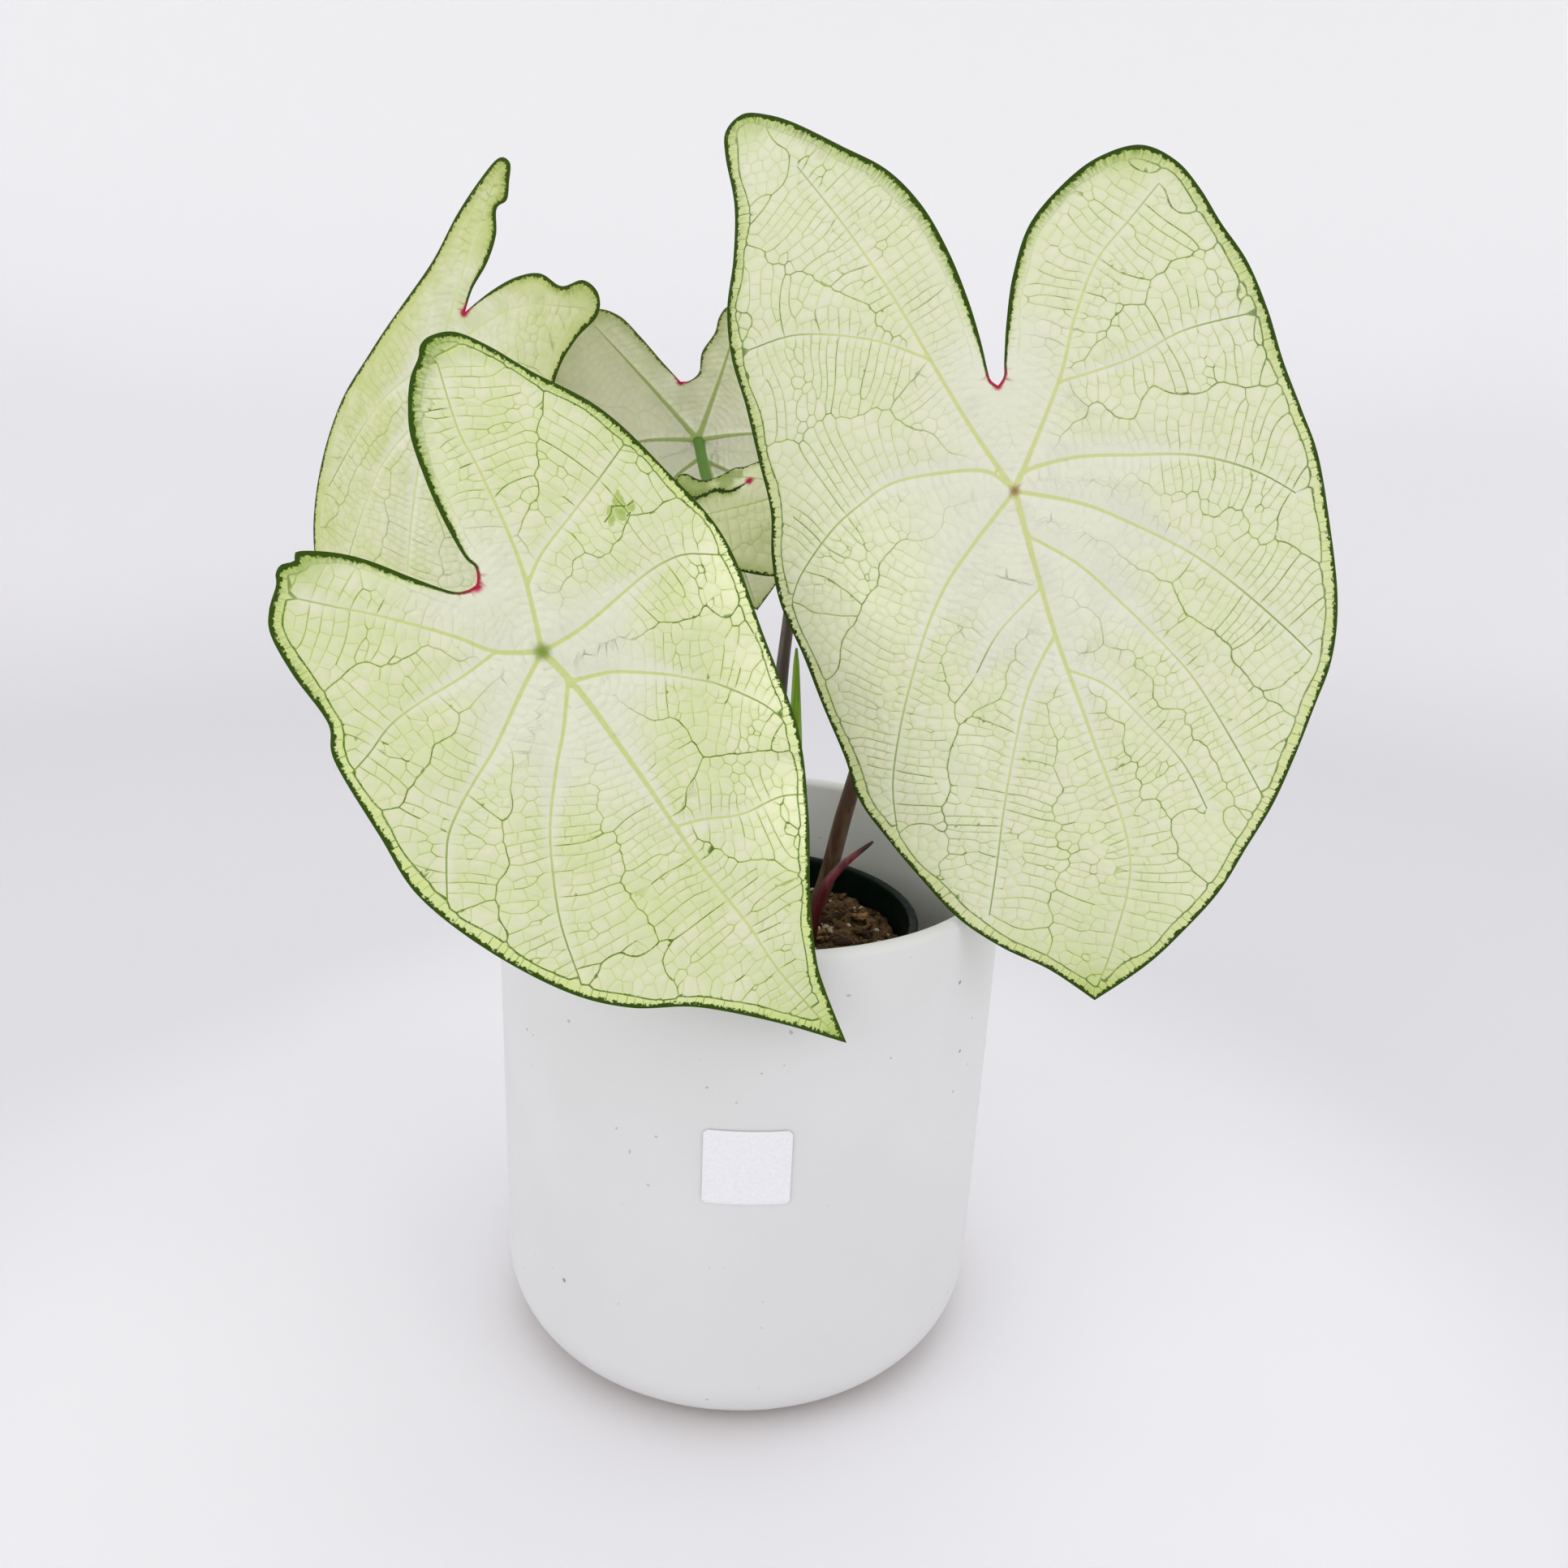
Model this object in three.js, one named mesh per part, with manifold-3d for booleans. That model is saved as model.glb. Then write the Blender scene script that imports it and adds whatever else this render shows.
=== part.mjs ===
// A potted caladium with five open blades, in a nursery pot inside a plain ceramic cachepot.
// Millimetres, +Z up. The origin is the middle of the cachepot's flat foot.
// -Y is the front, the side that the two large blades face.

import * as THREE from 'three';
import { mergeVertices } from 'three/addons/utils/BufferGeometryUtils.js';
import Module from 'manifold-3d';

const wasm = await Module();
wasm.setup();

// Driving dimensions, in mm

const GAP = 0.3;

const POT_RADIUS = 75;
const POT_HEIGHT = 150;
const POT_WALL = 5;
const POT_FLOOR = 5;
const POT_EDGE_RADIUS = 18;
const POT_INNER_EDGE_RADIUS = 12;
const POT_SEGMENTS = 48;

const LABEL_FROM_DEG = -7.5;
const LABEL_TO_DEG = 10;
const LABEL_BOTTOM = 79;
const LABEL_HEIGHT = 22;
const LABEL_THICKNESS = 0.5;

const NURSERY_RIM_HEIGHT = 129;
const NURSERY_TOP_RADIUS = 50;
const NURSERY_BASE_RADIUS = 38;
const NURSERY_WALL = 1.4;
const NURSERY_FLOOR = 2;
const NURSERY_LIP = 1.6;
const NURSERY_LIP_HEIGHT = 5;
const NURSERY_BASE = POT_FLOOR + GAP;
const DRAIN_HOLES = 5;
const DRAIN_HOLE_RADIUS = 4;
const DRAIN_CIRCLE_RADIUS = 24;

const SOIL_TOP = 118;
const SOIL_BUMP = 1.1;
const SOIL_CHIPS = 30;
const CHIP_RADIUS = [2.2, 4.4];
const CHIP_CLEAR = 4.5;
// The loose soil stands this far above the tuber's crown
const SOIL_HEADROOM = 1.4;

// The tuber's flat crown, which the stalks grow from
const CROWN = { x: 10.5, y: 4, z: 101.7, radius: 15.5 };
const TUBER_RADIUS = 19;
const TUBER_HEIGHT = 24;

const STALK_FOOT = CROWN.z + GAP;
const STALK_SIDES = 7;
const STALK_STEP = 13;

// Half of the blade's thickness, and the shares of the way to the margin where its rings of points lie
const BLADE_HALF = 0.4;
const BLADE_RINGS = [0.25, 0.5, 0.77, 1];
// The spacing of points along a margin: a length, and a share of the blade's length below its junction
const MARGIN_STEP = 4.5;
const MARGIN_STEP_SHARE = 0.035;
const RIB_SIDES = 3;
const RIB_STEP = 17;
// The length of stalk that is one piece with its blade
const STALK_END = 5;

const CHIP_SEED = 11;
const MERGE_WITHIN = 0.01;

// The five leaves
// A blade is drawn flat, with its stalk junction at (0, 0), its tip down the -v axis and its lobes up:
// left and right are its margins as seen on its upper face, each from the tip to the notch between
// the lobes. The flat plane passes through the junction. It faces the front, turned by pan about the
// vertical (to the right is more than 0), leant back by tilt and spun in itself by spin, in degrees.
// drop says how far the blade bends away behind that plane at 100 mm on each side, and wave and waves
// are the height and number of the ripples round its margin.
// Each rib is a curve through the junction and two points. A stalk passes through its points, from
// the tuber's crown up to the junction, and radius is its radius at the foot and at the top.

const LEAVES = {
  leaf_a: {
    junction: [60.2, -40, 259.7],
    tilt: 8, pan: -12, spin: 14.8,
    drop: { left: 18, right: 20, tip: 0, lobe: 10 },
    wave: 1.3, waves: 7,
    left: [
      [0, -130], [-10, -121], [-21, -114], [-31, -105], [-39, -93], [-46, -81], [-51.5, -70],
      [-53.5, -58], [-57, -44], [-60, -30], [-63.5, -16], [-63.5, -4], [-61.5, 8], [-62.5, 22],
      [-63.5, 36], [-65, 48], [-64, 60], [-60, 72], [-57.5, 85], [-58, 98], [-57, 104.5],
      [-52, 107.5], [-46, 105.5], [-39, 101], [-28, 91.5], [-18, 82.5], [-11, 71.5], [-6, 59],
      [-3, 47], [-1, 35], [0, 25.5],
    ],
    right: [
      [0, -130], [14, -122], [24, -114.5], [34, -106], [42, -96.5], [50, -87], [57, -76], [63, -65],
      [68.5, -54], [71.5, -40], [72, -20], [71.5, -5], [69, 6], [66, 18], [64, 30], [61, 42],
      [56.5, 52], [53, 61], [48.5, 68.5], [41, 73.5], [31, 72.5], [22, 68], [13, 60.5], [7.5, 50],
      [4, 38.5], [0, 25.5],
    ],
    ribs: [
      [[12, -75], [3, -124]], [[-18, 43], [-40, 90]], [[22, 39], [44, 64]], [[-34, 11], [-60, -15]],
      [[34, 5], [65, -13]], [[30, -14], [64, -52]], [[-29, -30], [-43, -79]], [[26, -37], [48, -85]],
    ],
    stalk: [[16.5, 9], [16.5, 9, 117], [22.4, 9.5, 132], [28.2, 5, 163], [38, -2, 205], [53, -14, 245]],
    radius: [3, 1.9],
    colour: 0x5d4640,
  },
  leaf_b: {
    junction: [-47.7, -78, 223.4],
    tilt: 20, pan: 20, spin: 35,
    drop: { left: 15, right: 15, tip: 3, lobe: 10 },
    wave: 1.4, waves: 7,
    left: [
      [-1, -117], [-11, -101], [-23, -85], [-34.5, -74.5], [-43, -62], [-50, -43.5], [-53.5, -25],
      [-51.5, -10], [-48.5, 8], [-44.5, 15], [-43, 30], [-39, 40.5], [-32, 45.5], [-25, 45],
      [-16, 36], [-10, 25], [-6, 20], [-2.5, 19],
    ],
    right: [
      [-1, -117], [2.5, -104], [6, -95], [14.5, -82], [26, -68], [37.5, -51], [45, -28], [52.5, -4],
      [50.5, 17], [47, 36], [39.5, 51], [33, 65], [26, 68], [18, 64], [9.5, 56], [4.5, 42],
      [0.8, 27], [-2.5, 19],
    ],
    ribs: [
      [[0, -57], [-2, -113]], [[14, 34], [23, 63]], [[-19, 21], [-33, 39]], [[25, 1], [49, -8]],
      [[19, -17], [36, -45]], [[-28, -10], [-50, -30]], [[-19, -26], [-39, -61]], [[12, -55], [29, -64]],
    ],
    stalk: [[3.5, -3.5], [3.5, -3.5, 117], [-3, -10, 145], [-17, -28, 182], [-36, -56, 211]],
    radius: [3, 1.8],
    colour: 0x6a4b42,
  },
  leaf_c: {
    junction: [-98.9, 40, 286.2],
    tilt: 5, pan: -15, spin: -10.4,
    drop: { left: 50, right: 10, tip: 10, lobe: 10 },
    wave: 1.2, waves: 6,
    left: [
      [1, -113], [-19, -103], [-32, -92], [-38.5, -80], [-42, -61], [-40, -40], [-34, -20],
      [-25, -4.5], [-15, 12], [-7, 26], [-2, 40], [3, 51], [7, 57.5], [10.5, 57], [11.5, 52],
      [12, 47], [9.5, 44], [11, 37], [10, 29], [7, 21], [6, 14],
    ],
    right: [
      [1, -113], [12, -101], [24, -84], [34, -62], [38, -38], [37, -18], [37.5, 3], [41, 14],
      [46, 22], [45, 28], [40, 30.5], [34, 27.5], [27, 29.5], [20, 27], [13, 21.5], [6, 14],
    ],
    ribs: [
      [[-2, -55], [1, -108]], [[3, 24], [7, 48]], [[20, 18], [38, 22]], [[-18, -17], [-36, -47]],
      [[18, -10], [34, -30]], [[14, -34], [27, -70]], [[-16, -38], [-29, -80]],
    ],
    stalk: [[3.5, 9.5], [3.5, 9.5, 117], [-3, 22, 150], [-26, 42, 200], [-62, 61, 250], [-90, 60, 281]],
    radius: [2.8, 1.7],
    colour: 0x6f5148,
  },
  leaf_d: {
    junction: [-23.6, 80, 265.2],
    tilt: 25, pan: 180, spin: -18.7,
    drop: { left: 10, right: 10, tip: 10, lobe: 10 },
    wave: 1.2, waves: 6,
    left: [
      [0, -69], [-8, -62], [-20, -51], [-32, -36], [-40, -17], [-40, 5], [-35, 24], [-29, 37],
      [-24, 40], [-20, 37.5], [-17, 33], [-11, 28], [-8, 22], [-4, 20], [-1, 20.5],
    ],
    right: [
      [0, -69], [12, -58], [25, -44], [38, -26], [44, -4], [44, 17], [38, 35], [28, 47],
      [17, 51], [10, 47], [6, 38.5], [2.5, 29], [-1, 20.5],
    ],
    ribs: [
      [[0, -33], [0, -65]], [[9, 23], [18, 45]], [[-15, 20], [-26, 35]], [[21, 5], [39, 0]],
      [[-19, -3], [-35, -10]], [[16, -14], [29, -36]], [[-13, -22], [-21, -46]],
    ],
    stalk: [[10, 16], [10, 16, 117], [7, 23, 150], [-1, 44, 200], [-14, 64, 238], [-20.5, 73, 254]],
    radius: [2.6, 1.8],
    colour: 0x6f9a58,
  },
  leaf_e: {
    junction: [9.4, 12, 254.4],
    tilt: 42, pan: -10, spin: 89.2,
    drop: { left: 80, right: 80, tip: 10, lobe: 10 },
    wave: 2, waves: 6,
    left: [
      [0, -48], [-10, -38], [-19, -23], [-24.5, -6], [-26.5, 6], [-24, 20], [-18, 32], [-11, 38],
      [-6.5, 36], [-4, 29], [-2.5, 22], [1, 14.5],
    ],
    right: [
      [0, -48], [9, -38], [16, -24], [19, -8], [15, 6], [9.5, 15], [7, 20], [5.5, 27], [5, 34],
      [3.5, 38], [1.5, 36], [0.5, 29], [0.3, 21], [1, 14.5],
    ],
    ribs: [
      [[0, -24], [0, -45]], [[-6, 14], [-11, 31]], [[-12, 1], [-22, 2]], [[-9, -12], [-18, -22]],
      [[8, -10], [14, -22]],
    ],
    stalk: [[10.5, 3.5], [10.5, 3.5, 117], [7, 4, 150], [6.4, 4, 198], [8.2, 6.5, 222], [10, 14, 243]],
    radius: [2.6, 1.6],
    colour: 0x4f4340,
  },
};

// The rolled new leaf and the crimson sheath leaf stand free and end in a point
const NEW_LEAF_SPIKE = {
  path: [[11, -5, STALK_FOOT], [11, -5, 117], [11.5, -6, 150], [11, -5.5, 185], [10.2, -5, 212]],
  radii: [2.2, 2.3, 2.3, 2.1, 0.5],
};
const RED_SHOOT = {
  path: [[18, -6, STALK_FOOT], [18, -6, 116], [19.2, -8, 130], [22.4, -10, 142.6], [27, -10, 149],
    [35.2, -10, 156.5]],
  radii: [2.6, 2.6, 2.3, 1.7, 1.4, 0.6],
};

// Closed bodies from rings of points

function faceOutward(positions, triangles) {
  const a = new THREE.Vector3();
  const b = new THREE.Vector3();
  const c = new THREE.Vector3();
  let volume = 0;
  for (const [i, j, k] of triangles) {
    a.copy(positions[i]);
    b.copy(positions[j]);
    c.copy(positions[k]);
    volume += a.dot(b.cross(c));
  }
  return volume < 0 ? triangles.map(([i, j, k]) => [i, k, j]) : triangles;
}

function makeGeometry(positions, triangles) {
  const geometry = new THREE.BufferGeometry();
  geometry.setFromPoints(positions);
  geometry.setIndex(faceOutward(positions, triangles).flat());
  return geometry;
}

function skinBetween(triangles, from, to, count) {
  for (let i = 0; i < count; i += 1) {
    const next = (i + 1) % count;
    triangles.push([from + i, from + next, to + next], [from + i, to + next, to + i]);
  }
}

// Rings of equal count, one above the other, with a middle point closing each end
function loft(rings) {
  const count = rings[0].length;
  const positions = rings.flat();
  const triangles = [];
  for (let r = 0; r + 1 < rings.length; r += 1) {
    skinBetween(triangles, r * count, (r + 1) * count, count);
  }
  const middle = (ring) => ring.reduce((sum, p) => sum.add(p), new THREE.Vector3()).divideScalar(count);
  const start = positions.push(middle(rings[0])) - 1;
  const end = positions.push(middle(rings[rings.length - 1])) - 1;
  const last = (rings.length - 1) * count;
  for (let i = 0; i < count; i += 1) {
    const next = (i + 1) % count;
    triangles.push([start, next, i], [end, last + i, last + next]);
  }
  return makeGeometry(positions, triangles);
}

function radiusAlong(radii, t) {
  const place = t * (radii.length - 1);
  const index = Math.min(Math.floor(place), radii.length - 2);
  return THREE.MathUtils.lerp(radii[index], radii[index + 1], place - index);
}

// A tapering stalk along a curve, between two shares of its length
function stalkAlong(curve, radii, from, to, sides, step, towards = new THREE.Vector3(1, 0, 0)) {
  const steps = Math.max(2, Math.round((curve.getLength() * (to - from)) / step));
  const rings = [];
  const side = towards.clone();
  for (let s = 0; s <= steps; s += 1) {
    const t = THREE.MathUtils.lerp(from, to, s / steps);
    const centre = curve.getPointAt(t);
    const along = curve.getTangentAt(t);
    side.addScaledVector(along, -side.dot(along)).normalize();
    const other = new THREE.Vector3().crossVectors(along, side);
    const radius = radiusAlong(radii, t);
    const ring = [];
    for (let i = 0; i < sides; i += 1) {
      const angle = (2 * Math.PI * i) / sides;
      ring.push(centre.clone()
        .addScaledVector(side, radius * Math.cos(angle))
        .addScaledVector(other, radius * Math.sin(angle)));
    }
    rings.push(ring);
  }
  return loft(rings);
}

// Joins and cuts

function toSolid(geometry) {
  const plain = geometry.clone();
  plain.deleteAttribute('normal');
  plain.deleteAttribute('uv');
  const merged = mergeVertices(plain, 1e-4);
  return new wasm.Manifold(new wasm.Mesh({
    numProp: 3,
    vertProperties: new Float32Array(merged.attributes.position.array),
    triVerts: new Uint32Array(merged.index.array),
  }));
}

// Cuts leave points a hair apart, which become one
function fromSolid(solid) {
  const mesh = solid.getMesh();
  const cut = new THREE.BufferGeometry();
  cut.setAttribute('position', new THREE.BufferAttribute(mesh.vertProperties, 3));
  cut.setIndex(new THREE.BufferAttribute(mesh.triVerts, 1));
  const geometry = mergeVertices(cut, MERGE_WITHIN);
  const corners = geometry.index.array;
  const kept = [];
  for (let t = 0; t < corners.length; t += 3) {
    const [i, j, k] = corners.slice(t, t + 3);
    if (i !== j && j !== k && k !== i) kept.push(i, j, k);
  }
  geometry.setIndex(kept);
  return geometry;
}

function joined(geometries) {
  return fromSolid(geometries.map(toSolid).reduce((sum, solid) => sum.add(solid)));
}

function cutBy(geometry, cutters) {
  return fromSolid(cutters.map(toSolid).reduce((rest, cutter) => rest.subtract(cutter), toSolid(geometry)));
}

// The blades

class Blade {
  constructor(leaf) {
    const tilt = THREE.MathUtils.degToRad(leaf.tilt);
    const pan = THREE.MathUtils.degToRad(leaf.pan);
    this.leaf = leaf;
    this.origin = new THREE.Vector3(...leaf.junction);
    this.normal = new THREE.Vector3(
      Math.sin(pan) * Math.cos(tilt),
      -Math.cos(pan) * Math.cos(tilt),
      Math.sin(tilt),
    );
    this.up = new THREE.Vector3(0, 0, 1).addScaledVector(this.normal, -this.normal.z).normalize();
    this.right = new THREE.Vector3().crossVectors(this.up, this.normal).normalize();
    const spin = THREE.MathUtils.degToRad(leaf.spin);
    this.up.applyAxisAngle(this.normal, spin);
    this.right.applyAxisAngle(this.normal, spin);
  }

  // How far the bent blade lies in front of its flat plane
  height(u, v) {
    const { drop, wave, waves } = this.leaf;
    const across = u < 0 ? drop.left : drop.right;
    const along = v < 0 ? drop.tip : drop.lobe;
    const ripple = wave * (u * u + v * v) * Math.sin(waves * Math.atan2(u, -v));
    return (ripple - across * u * u - along * v * v) / 1e4;
  }

  point(u, v, lift = 0) {
    return this.origin.clone()
      .addScaledVector(this.right, u)
      .addScaledVector(this.up, v)
      .addScaledVector(this.normal, this.height(u, v) + lift);
  }

  margin() {
    const step = MARGIN_STEP - MARGIN_STEP_SHARE * this.leaf.left[0][1];
    const side = (points) => {
      const curve = new THREE.SplineCurve(points.map(([u, v]) => new THREE.Vector2(u, v)));
      curve.arcLengthDivisions = 400;
      return curve.getSpacedPoints(Math.round(curve.getLength() / step));
    };
    const right = side(this.leaf.right);
    const left = side(this.leaf.left).reverse();
    return [...right.slice(0, -1), ...left.slice(0, -1)];
  }

  // Two faces with the same rings of points, joined round the margin
  sheet() {
    const margin = this.margin();
    const count = margin.length;
    const faceSize = 1 + count * BLADE_RINGS.length;
    const positions = [];
    for (const lift of [BLADE_HALF, -BLADE_HALF]) {
      positions.push(this.point(0, 0, lift));
      for (const share of BLADE_RINGS) {
        for (const { x, y } of margin) positions.push(this.point(x * share, y * share, lift));
      }
    }
    const face = [];
    for (let i = 0; i < count; i += 1) face.push([0, 1 + i, 1 + ((i + 1) % count)]);
    for (let r = 0; r + 1 < BLADE_RINGS.length; r += 1) {
      skinBetween(face, 1 + r * count, 1 + (r + 1) * count, count);
    }
    // skinBetween winds the other way from the fan in the middle
    const wound = face.map(([i, j, k], n) => (n < count ? [i, j, k] : [i, k, j]));
    const under = wound.map(([i, j, k]) => [i + faceSize, k + faceSize, j + faceSize]);
    const edge = [];
    const rim = 1 + (BLADE_RINGS.length - 1) * count;
    for (let i = 0; i < count; i += 1) {
      const a = rim + i;
      const b = rim + ((i + 1) % count);
      edge.push([a, a + faceSize, b + faceSize], [a, b + faceSize, b]);
    }
    return makeGeometry(positions, [...wound, ...under, ...edge]);
  }

  rib([middle, end]) {
    const flat = new THREE.QuadraticBezierCurve(
      new THREE.Vector2(0, 0),
      new THREE.Vector2(2 * middle[0] - end[0] / 2, 2 * middle[1] - end[1] / 2),
      new THREE.Vector2(...end),
    );
    const points = flat.getSpacedPoints(Math.max(3, Math.round(flat.getLength() / RIB_STEP)));
    const thick = this.leaf.radius[1] * 0.8;
    const path = new THREE.CatmullRomCurve3(points.map(({ x, y }, i) => (
      this.point(x, y, -BLADE_HALF - 0.3 * THREE.MathUtils.lerp(thick, 0.5, i / (points.length - 1))))));
    const ridge = this.normal.clone().negate();
    return stalkAlong(path, [thick, 0.5 * thick, 0.5], 0, 0.96, RIB_SIDES, RIB_STEP, ridge);
  }
}

// A stalk that stands in the soil, from its foot to a share of its curve
class Stalk {
  constructor(points, radii) {
    this.curve = new THREE.CatmullRomCurve3(points);
    this.curve.arcLengthDivisions = 400;
    this.radii = radii;
    this.top = 1;
  }

  build(wider = 0) {
    const radii = this.radii.map((radius) => radius + wider);
    return stalkAlong(this.curve, radii, 0, this.top, STALK_SIDES, STALK_STEP);
  }
}

// A leaf's stalk stops just under the short end of it that is one piece with the blade
class Petiole extends Stalk {
  constructor(blade) {
    const [[x, y], ...rest] = blade.leaf.stalk;
    const points = [[x, y, STALK_FOOT], ...rest].map((p) => new THREE.Vector3(...p));
    super([...points, blade.point(0, 0)], blade.leaf.radius);
    this.endFrom = 1 - STALK_END / this.curve.getLength();
    this.top = this.endFrom - GAP / this.curve.getLength();
  }

  bladeEnd() {
    return stalkAlong(this.curve, this.radii, this.endFrom, 1, STALK_SIDES, STALK_STEP);
  }
}

function named(name, geometry, colour, roughness) {
  const material = new THREE.MeshStandardMaterial({ color: colour, roughness, metalness: 0 });
  const mesh = new THREE.Mesh(geometry, material);
  mesh.name = name;
  return mesh;
}

function leafMeshes(name, leaf) {
  const blade = new Blade(leaf);
  const petiole = new Petiole(blade);
  const ribs = leaf.ribs.map((rib) => blade.rib(rib));
  return [
    named(`${name}_blade`, joined([blade.sheet(), petiole.bladeEnd(), ...ribs]), 0xdde8bd, 0.5),
    named(`${name}_petiole`, petiole.build(), leaf.colour, 0.5),
  ];
}

function pointedShoot({ path, radii }) {
  return new Stalk(path.map((p) => new THREE.Vector3(...p)), radii);
}

// The tuber, and its hollow in the soil, which is larger all round by extra and higher by headroom

function tuberGeometry(extra = 0, headroom = 0) {
  const bottom = CROWN.z - TUBER_HEIGHT;
  const profile = [
    [0, bottom - extra], [9 + extra, bottom - extra], [16 + extra, bottom + 4],
    [TUBER_RADIUS + extra, bottom + 11], [TUBER_RADIUS - 0.5 + extra, bottom + 18],
    [CROWN.radius + extra, CROWN.z + extra + headroom], [0, CROWN.z + extra + headroom],
  ].map(([r, z]) => new THREE.Vector2(r, z));
  const geometry = new THREE.LatheGeometry(profile, 23);
  geometry.rotateX(Math.PI / 2);
  geometry.translate(CROWN.x, CROWN.y, 0);
  return geometry;
}

// The pots

function turned(profile, segments) {
  const geometry = new THREE.LatheGeometry(profile, segments);
  geometry.rotateX(Math.PI / 2);
  return geometry;
}

function outerPot() {
  const inner = POT_RADIUS - POT_WALL;
  const outline = new THREE.Path();
  outline.moveTo(0, 0);
  outline.lineTo(POT_RADIUS - POT_EDGE_RADIUS, 0);
  outline.absarc(POT_RADIUS - POT_EDGE_RADIUS, POT_EDGE_RADIUS, POT_EDGE_RADIUS, -Math.PI / 2, 0);
  outline.lineTo(POT_RADIUS, POT_HEIGHT - POT_WALL / 2);
  outline.absarc(POT_RADIUS - POT_WALL / 2, POT_HEIGHT - POT_WALL / 2, POT_WALL / 2, 0, Math.PI);
  outline.lineTo(inner, POT_FLOOR + POT_INNER_EDGE_RADIUS);
  outline.absarc(
    inner - POT_INNER_EDGE_RADIUS, POT_FLOOR + POT_INNER_EDGE_RADIUS, POT_INNER_EDGE_RADIUS,
    0, -Math.PI / 2, true,
  );
  outline.lineTo(0, POT_FLOOR);
  const profile = outline.getPoints(2).filter((p, i, all) => i === 0 || p.distanceTo(all[i - 1]) > 1e-6);
  return turned(profile, POT_SEGMENTS);
}

function label() {
  const front = -90;
  const from = THREE.MathUtils.degToRad(front + LABEL_FROM_DEG);
  const to = THREE.MathUtils.degToRad(front + LABEL_TO_DEG);
  const back = POT_RADIUS + GAP;
  const shape = new THREE.Shape();
  shape.absarc(0, 0, back + LABEL_THICKNESS, from, to, false);
  shape.absarc(0, 0, back, to, from, true);
  const geometry = new THREE.ExtrudeGeometry(shape, {
    depth: LABEL_HEIGHT,
    bevelEnabled: false,
    curveSegments: 8,
  });
  geometry.translate(0, 0, LABEL_BOTTOM);
  return geometry;
}

// The nursery pot's outer radius at a height above the cachepot's foot
function nurseryRadius(z) {
  const share = (z - NURSERY_BASE) / (NURSERY_RIM_HEIGHT - NURSERY_BASE);
  return THREE.MathUtils.lerp(NURSERY_BASE_RADIUS, NURSERY_TOP_RADIUS, share);
}

function nurseryPot() {
  const floorTop = NURSERY_BASE + NURSERY_FLOOR;
  const lipFoot = NURSERY_RIM_HEIGHT - NURSERY_LIP_HEIGHT;
  const profile = [
    [0, NURSERY_BASE],
    [NURSERY_BASE_RADIUS - 2, NURSERY_BASE],
    [nurseryRadius(NURSERY_BASE + 2), NURSERY_BASE + 2],
    [nurseryRadius(lipFoot), lipFoot],
    [nurseryRadius(lipFoot) + NURSERY_LIP, lipFoot],
    [NURSERY_TOP_RADIUS + NURSERY_LIP, NURSERY_RIM_HEIGHT - 0.6],
    [NURSERY_TOP_RADIUS + NURSERY_LIP - 0.6, NURSERY_RIM_HEIGHT],
    [NURSERY_TOP_RADIUS - NURSERY_WALL + 0.5, NURSERY_RIM_HEIGHT],
    [nurseryRadius(NURSERY_RIM_HEIGHT - 0.6) - NURSERY_WALL, NURSERY_RIM_HEIGHT - 0.6],
    [nurseryRadius(floorTop) - NURSERY_WALL, floorTop],
    [0, floorTop],
  ].map(([r, z]) => new THREE.Vector2(r, z));
  const holes = [];
  for (let i = 0; i < DRAIN_HOLES; i += 1) {
    const angle = (2 * Math.PI * i) / DRAIN_HOLES;
    const hole = new THREE.CylinderGeometry(DRAIN_HOLE_RADIUS, DRAIN_HOLE_RADIUS, 3 * NURSERY_FLOOR, 10);
    hole.rotateX(Math.PI / 2);
    hole.translate(
      DRAIN_CIRCLE_RADIUS * Math.cos(angle),
      DRAIN_CIRCLE_RADIUS * Math.sin(angle),
      NURSERY_BASE + NURSERY_FLOOR / 2,
    );
    holes.push(hole);
  }
  return cutBy(turned(profile, 44), holes);
}

// The soil

function soilHeight(x, y) {
  const long = Math.sin(0.11 * x + 1) * Math.cos(0.13 * y - 0.4);
  const short = Math.sin(0.31 * x + 0.24 * y) * Math.sin(0.27 * y - 0.19 * x + 2);
  return SOIL_TOP + SOIL_BUMP * (1.2 * long + short);
}

function soilBody() {
  const segments = 32;
  const bottom = NURSERY_BASE + NURSERY_FLOOR + GAP;
  const wallClear = NURSERY_WALL + GAP;
  const ring = (radius, height) => {
    const points = [];
    for (let i = 0; i < segments; i += 1) {
      const angle = (2 * Math.PI * i) / segments;
      const x = radius * Math.cos(angle);
      const y = radius * Math.sin(angle);
      points.push(new THREE.Vector3(x, y, height ?? soilHeight(x, y)));
    }
    return points;
  };
  const bottomRadius = nurseryRadius(bottom) - wallClear;
  const topRadius = nurseryRadius(SOIL_TOP - 3) - wallClear;
  const top = [1, 0.82, 0.62, 0.42, 0.2].map((share) => ring(topRadius * share));
  return loft([ring(bottomRadius, bottom), ring(topRadius, SOIL_TOP - 4), ...top]);
}

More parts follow.
